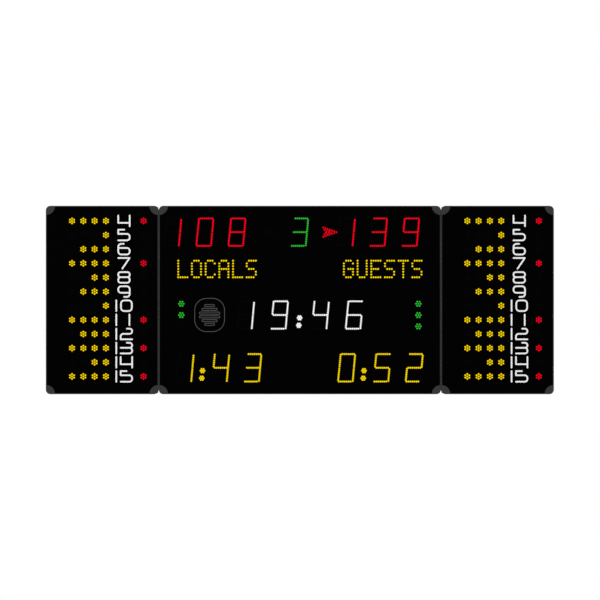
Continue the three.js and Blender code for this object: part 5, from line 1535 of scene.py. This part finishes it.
# %% A louvre
def hood_template(name, length, height, proud, sheet):
    """A hood, open below: a bent strip with closed ends on z = 0, open towards -y."""
    turns = [math.radians(15 * step) for step in range(7)]
    outer = [(height * math.cos(turn) - height, proud * math.sin(turn)) for turn in turns]
    inner = [(u, max(0.0, v - sheet)) for u, v in outer]
    section = outer + [inner[-1]] + [(u - sheet, v) for u, v in inner[-2:0:-1]] + [(-sheet, 0)]
    shape = bmesh.new()
    end = outer + [(-height, 0)]
    for outline, sides in ((section, (-length / 2, length / 2)),
                           (end, (-length / 2, sheet - length / 2)),
                           (end, (length / 2, length / 2 - sheet))):
        skin(shape, [[(x, u, v) for u, v in outline] for x in sides])
    return finish_mesh(shape, name, 35)


HOOD = hood_template("louvre", 76, 10, 3, 1)
print("a louvre has", len(HOOD.polygons), "faces")

# %% Louvres, rivets, knock-outs and the rating plate
SHEET_BACK = -12.0
VENT_SHARE, VENT_TOP, VENT_PITCH, VENT_ROWS = 0.36, 377.0, 16.0, 3
HOOK_SHARE, HOOK_RIVET_Z, HOOK_RIVET_PITCH = 0.25, 604, 22
FOOT_RIVET_Z, FOOT_RIVET_X = -570, 32
SIDE_RIVET_INSET, SIDE_RIVET_Y, SIDE_RIVET_Z, SIDE_RIVET_PITCH, SIDE_RIVETS = 6, -24.0, -540, 208, 6
KNOCK_OUT_SHARE, KNOCK_OUT_Z = 0.13, -470
hoods, back_rivets, side_rivets, knock_outs = [], [], [], []
for cabinet_x, width in CABINETS.values():
    for side, outward in ((-1, FACING_LEFT), (1, FACING_RIGHT)):
        hoods += [(cabinet_x + side * VENT_SHARE * width, SHEET_BACK,
                   CABINET_Z + VENT_TOP - row * VENT_PITCH) for row in range(VENT_ROWS)]
        hook_x = cabinet_x + side * HOOK_SHARE * width
        back_rivets += [(hook_x + step * HOOK_RIVET_PITCH, SHEET_BACK, CABINET_Z + HOOK_RIVET_Z)
                        for step in (-2, -1, 1, 2)]
        back_rivets += [(hook_x + step * FOOT_RIVET_X, SHEET_BACK, CABINET_Z + FOOT_RIVET_Z)
                        for step in (-1, 1)]
        wall_x = cabinet_x + side * (width / 2 - SIDE_RIVET_INSET)
        side_rivets += [(wall_x, SIDE_RIVET_Y, CABINET_Z + SIDE_RIVET_Z + SIDE_RIVET_PITCH * step,
                         outward) for step in range(SIDE_RIVETS)]
        knock_outs.append((cabinet_x + side * KNOCK_OUT_SHARE * width, SHEET_BACK,
                           CABINET_Z + KNOCK_OUT_Z))
copies("louvres", HOOD, hoods, "cabinets", casing_paint, FACING_BACK)
copies("casing_back_rivets", RIVET, back_rivets, "cabinets", steel_screw, FACING_BACK, 3.0)
copies("casing_side_rivets", RIVET, side_rivets, "cabinets", black_screw, size=2.4)

PLATE_X, PLATE_Z, PLATE_SHEET, PLATE_MARGIN = (600, 720), (-470, -405), 0.6, 6
plate_back = SHEET_BACK + PLATE_SHEET
boxes_piece("rating_plate", [(PLATE_X, (SHEET_BACK, plate_back), [CABINET_Z + z for z in PLATE_Z])],
            0.2, "cabinets", plate_aluminium)
plate_rivets = [(x, plate_back, CABINET_Z + z)
                for x in (PLATE_X[0] + PLATE_MARGIN, PLATE_X[1] - PLATE_MARGIN)
                for z in (PLATE_Z[0] + PLATE_MARGIN, PLATE_Z[1] - PLATE_MARGIN)]
copies("rating_plate_rivets", RIVET, plate_rivets, "cabinets", steel_screw, FACING_BACK, 2.0)
copies("knock_outs", KNOCK_OUT, knock_outs, "cabinets", casing_paint, FACING_BACK)

# %% Bolts of the rail, screws of the frame and rivet heads of the stays
RAIL_LENGTH = 3171.0
BOLT_SHARES = (0.07, 0.2, 0.34, 0.47)
bolts = [(side * share * RAIL_LENGTH, -3.0, -15.0) for side in (-1, 1) for share in BOLT_SHARES]
copies("rail_bolts", BOLT, bolts, "cabinets", zinc_plate, size=5.6)

SCREW_INSET, SCREW_REACH, MIDDLE_SCREW_Z = 3.1, 73.0, 180
SCREW_HEIGHTS = (HALF_HEIGHT - SCREW_REACH, MIDDLE_SCREW_Z)
for cabinet, (cabinet_x, width) in CABINETS.items():
    places = []
    for side in (-1, 1):
        x = cabinet_x + side * (width / 2 - SCREW_INSET)
        places += [(x, DOOR_BACK, CABINET_Z + level * z)
                   for z in SCREW_HEIGHTS for level in (-1, 1)]
        places.append((cabinet_x + side * (width / 2 - SCREW_REACH), DOOR_BACK,
                       CABINET_Z - HALF_HEIGHT + SCREW_INSET))
    copies(cabinet + "_frame_screws", SCREW, places, cabinet + "_door", black_screw,
           FACING_BACK, 2.1)

STAY_HEAD_INSET, STAY_Y, STAY_LOWER_Z = 20.5, -38.0, -189.0
for cabinet, side, name in (("main", -1, "main_left_stay"), ("main", 1, "main_right_stay"),
                            ("left", -1, "left_stay"), ("right", 1, "right_stay")):
    cabinet_x, width = CABINETS[cabinet]
    head = (cabinet_x + side * (width / 2 - STAY_HEAD_INSET), STAY_Y, CABINET_Z + STAY_LOWER_Z)
    copies(name + "_head", RIVET, [head], name, steel_screw,
           FACING_LEFT if side > 0 else FACING_RIGHT, 4.4)

# %% [markdown]
# ## The power supply
#
# A boxed supply stands on a flanged plate, under a cover punched full of holes, with a row of screw
# terminals along its lower edge. Punching real holes with booleans is slow. A cover made of equal
# square cells, each with its hole already in it, is one cell and a grid: Geometry Nodes lay it out,
# merge the seams and give the sheet its thickness.

# %% The perforated sheet tree
SEAM = 0.00002
punch_tree, given = geometry_tree("perforated_sheet", [
    ("Columns", "NodeSocketInt"), ("Rows", "NodeSocketInt"), ("Cell", FLOAT), ("Sheet", FLOAT),
    ("Template", "NodeSocketObject"), ("Finish", "NodeSocketMaterial")])
punch_grid = add_node(punch_tree, "GeometryNodeMeshGrid", Vertices_X=given["Columns"],
                      Vertices_Y=given["Rows"])
for title, size in (("Columns", "Size X"), ("Rows", "Size Y")):
    steps = calculate(punch_tree, "SUBTRACT", given[title], 1.0)
    reach = calculate(punch_tree, "MULTIPLY", steps, given["Cell"])
    wire(punch_tree, reach, punch_grid.inputs[size])
punch_cell = add_node(punch_tree, "GeometryNodeObjectInfo", Object=given["Template"])
punch_lay = add_node(punch_tree, "GeometryNodeInstanceOnPoints", Points=punch_grid,
                     Instance=punch_cell.outputs["Geometry"], Scale=given["Cell"])
punch_real = add_node(punch_tree, "GeometryNodeRealizeInstances", Geometry=punch_lay)
punch_merge = add_node(punch_tree, "GeometryNodeMergeByDistance", Distance=SEAM,
                       Geometry=punch_real)
punch_rise = add_node(punch_tree, "GeometryNodeExtrudeMesh", mode="FACES", Individual=False,
                      Mesh=punch_merge, Offset_Scale=given["Sheet"])
punch_under = add_node(punch_tree, "GeometryNodeFlipFaces", Mesh=punch_merge)
punch_join = add_node(punch_tree, "GeometryNodeJoinGeometry", Geometry=punch_rise)
wire(punch_tree, punch_under, punch_join.inputs["Geometry"])
punch_close = add_node(punch_tree, "GeometryNodeMergeByDistance", Distance=SEAM,
                       Geometry=punch_join)
end_tree(punch_tree, punch_close, given["Finish"])


# %% A cell with a hole
def pierced_cell(name, hole_share):
    """A unit square with an eight-sided hole, its face up."""
    shape = bmesh.new()
    turns = [(math.cos(turn), math.sin(turn)) for turn in (math.radians(45 * n) for n in range(8))]
    rim = [shape.verts.new((hole_share * u, hole_share * v, 0)) for u, v in turns]
    edge = [shape.verts.new((0.5 * round(u * 1.2), 0.5 * round(v * 1.2), 0)) for u, v in turns]
    for index in range(8):
        after = (index + 1) % 8
        shape.faces.new((rim[index], edge[index], edge[after], rim[after]))
    return mesh_of(shape, name)


def perforated(name, centre, columns, rows, cell, sheet, hole_share, finish):
    """A perforated sheet that faces the front; centre and sizes in mm."""
    model = new_piece(name + "_cell", pierced_cell(name + "_cell", hole_share))
    piece = grow(name, bpy.data.meshes.new(name), punch_tree, Columns=columns, Rows=rows,
                 Cell=cell * MM, Sheet=sheet * MM, Template=model, Finish=finish)
    bpy.data.objects.remove(model)
    piece.data.transform(Matrix.Translation(Vector(centre) * MM) @ Matrix.Rotation(QUARTER, 4, "X"))
    print(name, "has", columns * rows, "holes and", len(piece.data.polygons), "faces")
    return piece


print("cell and sheet helpers ready")

# %% Build the supply
SUPPLY_X, SUPPLY_Z = 486.7, CABINET_Z - 450.0
SUPPLY_BACK, SUPPLY_FRONT = -13.8, -41.8
SUPPLY_HALF, SUPPLY_UP, SUPPLY_DOWN, TERMINAL_DOWN = 107.5, 57.5, 45.5, 57.5
FLANGE, SIDE_RIM, END_RIM, SHEET = 14, 10, 7, 1
FLANGE_SCREW_X, FLANGE_SCREW_Z = 114.5, 42
plate_front = SUPPLY_BACK - 1.5
cover_steel = surface_finish("cover_steel", (0.5, 0.5, 0.49), 0.4, metallic=1.0, grain=260,
                             relief=0.06, uneven=0.25, worn=(0.66, 0.66, 0.66), dust=0.2)

left, right = SUPPLY_X - SUPPLY_HALF, SUPPLY_X + SUPPLY_HALF
low, high = SUPPLY_Z - SUPPLY_DOWN, SUPPLY_Z + SUPPLY_UP
walls, rims = (SUPPLY_FRONT, SUPPLY_BACK), (SUPPLY_FRONT, SUPPLY_FRONT + SHEET)
shell_boxes = [((left - FLANGE, right + FLANGE), (plate_front, SUPPLY_BACK),
                (SUPPLY_Z - TERMINAL_DOWN, high))]
for depth, side_thick, end_thick in ((walls, SHEET, SHEET), (rims, SIDE_RIM, END_RIM)):
    shell_boxes += [((left, left + side_thick), depth, (low, high)),
                    ((right - side_thick, right), depth, (low, high)),
                    ((left, right), depth, (high - end_thick, high)),
                    ((left, right), depth, (low, low + end_thick))]
shell = boxes_piece("power_supply_shell", shell_boxes, 0.3, "cabinets", cover_steel)
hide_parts("power_supply")
grid = perforated("power_supply_grid", (SUPPLY_X, rims[1], (low + high) / 2), 30, 14, 6.5, SHEET,
                  0.34, cover_steel)
seat(grid, "cabinets")
INNARDS = (((12, 66), 5, (12, 60)), ((78, 112), 9, (20, 80)), ((122, 203), 7, (10, 36)))
boxes_piece("power_supply_innards", [
    ([left + u for u in across], (SUPPLY_FRONT + under, SUPPLY_BACK - 2), [low + v for v in up])
    for across, under, up in INNARDS], 1.5, "cabinets", chip_epoxy)
flange_screws = four_corners(SUPPLY_X, plate_front, SUPPLY_Z, FLANGE_SCREW_X, FLANGE_SCREW_Z)
copies("power_supply_screws", SCREW, flange_screws, "cabinets", steel_screw, size=4.2)

# %% Its terminals
TERMINALS, TERMINAL_PITCH, TERMINAL_FRONT, BARRIER_FRONT = 9, 16.0, -24.0, -30.5
BLOCK_HALF, BARRIER_HALF = 73, 0.9
terminal_low, terminal_high = SUPPLY_Z - TERMINAL_DOWN, low
block = [((SUPPLY_X - BLOCK_HALF, SUPPLY_X + BLOCK_HALF), (TERMINAL_FRONT, plate_front),
          (terminal_low, terminal_high))]
for index in range(TERMINALS + 1):
    x = SUPPLY_X + (index - TERMINALS / 2) * TERMINAL_PITCH
    block.append(((x - BARRIER_HALF, x + BARRIER_HALF), (BARRIER_FRONT, plate_front),
                  (terminal_low, terminal_high)))
boxes_piece("terminal_block", block, 0.4, "cabinets", connector_nylon)
terminal_screws = [(SUPPLY_X + (index - (TERMINALS - 1) / 2) * TERMINAL_PITCH, TERMINAL_FRONT,
                    (terminal_low + terminal_high) / 2) for index in range(TERMINALS)]
copies("terminal_screws", SCREW, terminal_screws, "cabinets", zinc_plate, size=3.9)

# %% [markdown]
# ## The control board
#
# It stands on four posts beside the supply. The CAD model gives the board, its posts and three
# large parts. Here it gets its screws, sockets along the lower edge, cans and small chips.

# %% Fit out the control board
CONTROL_X, CONTROL_Z = -187.2, CABINET_Z - 450.0
CORNER_X, CORNER_Z, ROW_START = 106, 66, -84


def control_row(name, template, finish, count, start, pitch, z, size=1.0):
    places = [(CONTROL_X + start + pitch * index, CONTROL_FRONT, CONTROL_Z + z)
              for index in range(count)]
    copies("control_" + name, template, places, "cabinets", finish, size=size)


corners = four_corners(CONTROL_X, CONTROL_FRONT, CONTROL_Z, CORNER_X, CORNER_Z)
copies("control_screws", SCREW, corners, "cabinets", steel_screw, size=2.9)
control_row("sockets", HEADER, pale_nylon, 8, ROW_START, 24, -60)
control_row("cans", CAN, can_sleeve, 9, ROW_START, 21, 52, 4.6)
control_row("chips", CHIP, chip_epoxy, 6, -78, 31, 34)
control_row("chip_legs", CHIP_LEGS, solder_tin, 6, -78, 31, 34)
draw = random.Random(11)
small_parts = [(CONTROL_X + draw.uniform(-92, 92), CONTROL_FRONT,
                CONTROL_Z + draw.choice((-30, -36, -42, 24))) for index in range(46)]
copies("control_resistors", RESISTOR, small_parts, "cabinets", ceramic_film)

# %% [markdown]
# ## The looms of the casing
#
# Round leads run from the mains inlet to the supply, from the supply to the control board, and from
# there to the plugs of the narrow cabinets. They lie flat on the casing's floor, held by saddles.

# %% Lay the looms
LOOM_Y, BOARD_Y, MAINS_Y = FLOOR_Y - 3.8, -27, -26
LOOM_Z, FEED_Z, MAINS_Z = CABINET_Z - 560.0, CABINET_Z - 530.0, CABINET_Z - 578
LINK_PLUG_X, LINK_PLUG_Y, LINK_PLUG_Z = 894.0, -29.75, CABINET_Z - 300.0
INLET_X, INLET_Y, INLET_Z, INLET_PITCH, MAINS_STEP = 673.9, -29.75, CABINET_Z - 596, 6, 4
LOOM_X, FEED_X, BOARD_HALF, TERMINAL_X = 876, -28, 108, 48
loom_paths = []
for side, start_x in ((-1, -320.0), (1, -50.0)):
    board_edge = CONTROL_X + side * BOARD_HALF
    loom_paths.append([
        (board_edge, BOARD_Y, CONTROL_Z - 20), (start_x, BOARD_Y, CONTROL_Z - 20),
        (start_x, LOOM_Y, CONTROL_Z - 45), (start_x, LOOM_Y, LOOM_Z),
        (side * LOOM_X, LOOM_Y, LOOM_Z), (side * LOOM_X, LOOM_Y, LINK_PLUG_Z - 30),
        (side * LOOM_X, LINK_PLUG_Y, LINK_PLUG_Z), (side * LINK_PLUG_X, LINK_PLUG_Y, LINK_PLUG_Z)])
wires("link_looms", loom_paths, 3.4, "cabinets", lead_sheath, 9.0, 12)
feed = [(SUPPLY_X - TERMINAL_X, -25, terminal_low), (SUPPLY_X - TERMINAL_X, LOOM_Y, FEED_Z),
        (FEED_X, LOOM_Y, FEED_Z), (FEED_X, LOOM_Y, CONTROL_Z + 10),
        (FEED_X, BOARD_Y, CONTROL_Z + 10), (CONTROL_X + BOARD_HALF, BOARD_Y, CONTROL_Z + 10)]
for shift, name, finish in ((0, "plus_wire", red_sheath), (4.2, "minus_wire", blue_sheath)):
    wires(name, [[(x + shift, y, z + shift) for x, y, z in feed]], 1.7, "cabinets", finish, 7.0, 10)
for step, name, finish in ((-1, "live_wire", live_sheath), (0, "earth_wire", earth_sheath),
                           (1, "neutral_wire", blue_sheath)):
    pin_x, level = INLET_X + step * INLET_PITCH, MAINS_Z + step * MAINS_STEP
    target_x = SUPPLY_X + TERMINAL_X + step * TERMINAL_PITCH
    wires(name, [[(pin_x, INLET_Y, INLET_Z), (pin_x, MAINS_Y, level), (target_x, MAINS_Y, level),
                  (target_x, MAINS_Y, terminal_low)]], 1.5, "cabinets", finish, 5.0, 10)
print("looms laid")

# %% Hold them with saddles
SADDLE = box_template("saddle", 9.0, 8.0, 8.2, 0.8, ((8.5, 0, 0.9), (10.0, 8.0, 1.8)))
UPRIGHT_RUN, LEVEL_RUN = (QUARTER, 0.0, 0.0), (QUARTER, QUARTER, 0.0)
FOOT_SHEET, FOOT_SCREW = 1.8, 10
saddles = [(x, FLOOR_Y, LOOM_Z, LEVEL_RUN) for x in (-780, -620, -460, 100, 260, 420, 560, 780)]
saddles += [(x, FLOOR_Y, CABINET_Z + z, UPRIGHT_RUN)
            for x in (-LOOM_X, LOOM_X) for z in (-480, -400)]
saddles += [(x, FLOOR_Y, FEED_Z + 2, LEVEL_RUN) for x in (60, 220, 340)]
screw_y = FLOOR_Y - FOOT_SHEET
saddle_screws = [(x, screw_y, z - FOOT_SCREW) if turn is LEVEL_RUN else (x + FOOT_SCREW, screw_y, z)
                 for x, y, z, turn in saddles]
copies("saddles", SADDLE, saddles, "cabinets", connector_nylon)
copies("saddle_screws", SCREW, saddle_screws, "cabinets", steel_screw, size=2.3)

# %% [markdown]
# ## The horn's loudspeaker
#
# Behind the grille sits a loudspeaker: a black baffle plate, a pressed basket with six windows, a
# magnet between two steel plates, and a paper cone that moves. Most of it is turned about one axis,
# so profiles do the work. The cone has a half-round rubber roll at its rim, which lets it move, and
# a dust cap in the middle, and it rides on its own body, because it slides.

# %% Turned parts of the horn
BAFFLE_FRONT = -74.0
TO_HORN = (Matrix.Translation(Vector((HORN_X, BAFFLE_FRONT, HORN_Z)) * MM)
           @ Matrix.Rotation(QUARTER, 4, "X") @ Matrix.Scale(MM, 4))


def horn_piece(name, mesh, body, finish):
    """A piece whose mesh is drawn in mm on the horn's axis, forward from the baffle's front."""
    mesh.transform(TO_HORN)
    return seat(new_piece(name, mesh), body, finish)


rubber_roll = small_finish("rubber_roll", (0.008, 0.008, 0.008), 0.45, 2500, 0.1, 0.0, specular=0.2)
# The baffle's card is black, and is kept near black and barely reflective as painted shade behind
# the slots.
black_card = small_finish("black_card", (0.0015, 0.0015, 0.0016), 0.85, 900, 0.3, 0.0,
                          specular=0.02)
basket_paint = small_finish("basket_paint", (0.02, 0.02, 0.021), 0.45, 1600, 0.15, 0.15,
                            worn=(0.12, 0.12, 0.12), wear=0.4)
ferrite = small_finish("ferrite", (0.035, 0.034, 0.034), 0.7, 1200, 0.4, 0.15, uneven=0.25)
TURNED_PARTS = {
    "horn_paper_cone": ("horn_cone", cone_paper, [
        (0, -6.0), (7, -6.3), (13, -7.4), (18.5, -9.6), (19.5, -10.4), (30, -8.4), (44, -6.0),
        (57, -3.9), (58.6, -3.4), (58.6, -4.6), (57, -5.0), (19.5, -11.8), (0, -12.4)]),
    "horn_rubber_roll": ("horn_cone", rubber_roll, [
        (0, -12.9), (19, -12.6), (57.4, -5.4), (57.6, -3.3), (58.8, -3.0), (60.2, -1.9),
        (62.6, -1.3), (65, -1.9), (66.2, -3.0), (67.1, -3.2), (67.1, -4.2), (65.6, -4.2),
        (64.4, -3.0), (62.6, -2.4), (60.8, -3.0), (59.4, -6.2), (19, -13.0), (0, -13.0)]),
    "horn_magnet": ("main_door", ferrite, [
        (0, -17), (31, -17), (31.9, -17.6), (31.9, -24.2), (31, -24.8), (0, -24.8)]),
    "horn_back_plate": ("main_door", zinc_plate, [
        (0, -24.7), (29, -24.7), (29, -25.6), (28, -26), (6, -26), (5, -25), (0, -25)])}
for name, (body, finish, profile) in TURNED_PARTS.items():
    part = horn_piece(name, turned_template(name, profile, 48), body, finish)
    if name == "horn_paper_cone":
        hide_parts("horn_cone")
print(len(TURNED_PARTS), "horn parts turned")

# %% Baffle, basket and spokes
BAFFLE_HALF, BAFFLE_ROUND, BAFFLE_HOLE, BAFFLE_SHEET = (94.2, 105.7), 48.2, 68.8, 3.0
BASKET_OUTER, BASKET_INNER, HUB_OUTER, HUB_INNER = 70.0, 67.5, 40, 24.0
BASKET_BACK, HUB_LEVELS = -10.0, (-17.2, -15.2)
SPOKE_SIZE, SPOKE_ANGLES = (33, 13, 1.8), range(30, 390, 60)
SPOKE_PLACE = Matrix.Translation((53.5, 0, -12.6)) @ Matrix.Rotation(math.radians(-12.3), 4, "Y")


def ring_plate(shape, outer, inner_radius, back, front):
    """A flat plate with a round hole; the outline is given about the axis in mm."""
    hole = [p.normalized() * inner_radius for p in outer]
    section = ((hole, front), (outer, front), (outer, back), (hole, back), (hole, front))
    skin(shape, [[(*p, height) for p in ring] for ring, height in section], capped=False)


shape = bmesh.new()
baffle_edge = rounded_loop(0, 0, *BAFFLE_HALF, BAFFLE_ROUND, 16)
ring_plate(shape, baffle_edge, BAFFLE_HOLE, -BAFFLE_SHEET, 0.0)
baffle = horn_piece("horn_baffle", finish_mesh(shape, "horn_baffle", 35), "main_door", black_card)
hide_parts("horn_driver")

shape = bmesh.new()
circle = arc((0, 0), 1.0, 0, 360, 48)[:-1]
ring_plate(shape, [p * BASKET_OUTER for p in circle], BASKET_INNER, BASKET_BACK, -BAFFLE_SHEET)
ring_plate(shape, [p * HUB_OUTER for p in circle], HUB_INNER, *HUB_LEVELS)
for angle in SPOKE_ANGLES:
    turn = Matrix.Rotation(math.radians(angle), 4, "Z")
    add_soft_box(shape, SPOKE_SIZE, 0.5, turn @ SPOKE_PLACE)
basket = horn_piece("horn_basket", finish_mesh(shape, "horn_basket", 35), "main_door", basket_paint)
baffle_screws = four_corners(HORN_X, BAFFLE_FRONT + BAFFLE_SHEET, HORN_Z, 66, 84)
copies("horn_screws", SCREW, baffle_screws, "main_door", steel_screw, FACING_BACK, 3.4)
print("horn basket with", len(basket.data.polygons), "faces")

# %% The horn's leads, from its basket to the clock board
LEAD_GAP, LEAD_RADIUS = 3.4, 1.2
lead_z = HORN_Z - 60
basket_plug = (HORN_X + 46.3, -61.2, HORN_Z - 26.8)
board_plug = (-392.0, BOARD_BACK, lead_z - LEAD_GAP / 2)
copies("horn_plugs", HEADER, [basket_plug, board_plug], "main_door", pale_nylon, FACING_BACK, 0.75)
horn_lead = [(HORN_X + 48, -58, basket_plug[2] + LEAD_GAP / 2), (HORN_X + 98, -69.2, HORN_Z - 50),
             (HORN_X + 120, -74.7, lead_z), (-445, -74.7, lead_z), (-431, -71.4, lead_z),
             (board_plug[0], -71.4, lead_z)]
for name, drop, finish in (("horn_red_wire", 0, red_sheath),
                           ("horn_black_wire", LEAD_GAP, lead_sheath)):
    path = [(x, y, z - drop) for x, y, z in horn_lead]
    wires(name, [path], LEAD_RADIUS, "main_door", finish, 6.0)
print("horn leads laid")

# %% [markdown]
# ## Marks on the mains switch
#
# The rocker carries the two usual marks, a bar for on and a ring for off, moulded a hair proud and
# white. They are drawn flat on the rocker's two slopes and turned with it, and they ride on it.

# %% Mark the rocker
ROCKER = Vector((707.4, -29.75, CABINET_Z - 618.3))
ROCKER_TURN = Matrix.Rotation(math.radians(8), 4, "Y")
SLOPE = math.atan2(2, 10.5)
MARK_X, MARK_Z, MARK_RISE = 5.25, -3.0, 0.25
ring_mark = turned_template("ring_mark", [(1.2, 0), (1.9, 0), (1.9, MARK_RISE), (1.2, MARK_RISE),
                                          (1.2, 0)], 24)
bar_mark = box_template("bar_mark", 0.8, 4.6, MARK_RISE, 0.06)
for side, name, mark in ((-1, "switch_mark_off", ring_mark), (1, "switch_mark_on", bar_mark)):
    on_slope = (Matrix.Translation((side * MARK_X, 0, MARK_Z))
                @ Matrix.Rotation(math.pi + side * SLOPE, 4, "Y"))
    mark.transform(Matrix.Scale(MM, 4) @ Matrix.Translation(ROCKER) @ ROCKER_TURN @ on_slope)
    seat(new_piece(name, mark), "power_switch", number_ink)
print("rocker marked")

# %% Ribs on the link plugs
PLUG_RIB = box_template("plug_rib", 25.4, 25.4, 2.2, 0.7)
ribs = [(side * (start + 6 * step), LINK_PLUG_Y, LINK_PLUG_Z)
        for side in (-1, 1) for start in (902, 955) for step in range(4)]
copies("link_plug_ribs", PLUG_RIB, ribs, "cabinets", connector_nylon, FACING_RIGHT)

# %% [markdown]
# ## The last lines
#
# The box of the CAD model, measured when it was loaded, is printed.

# %% Print the CAD model's box
print("CAD box", cad_box)
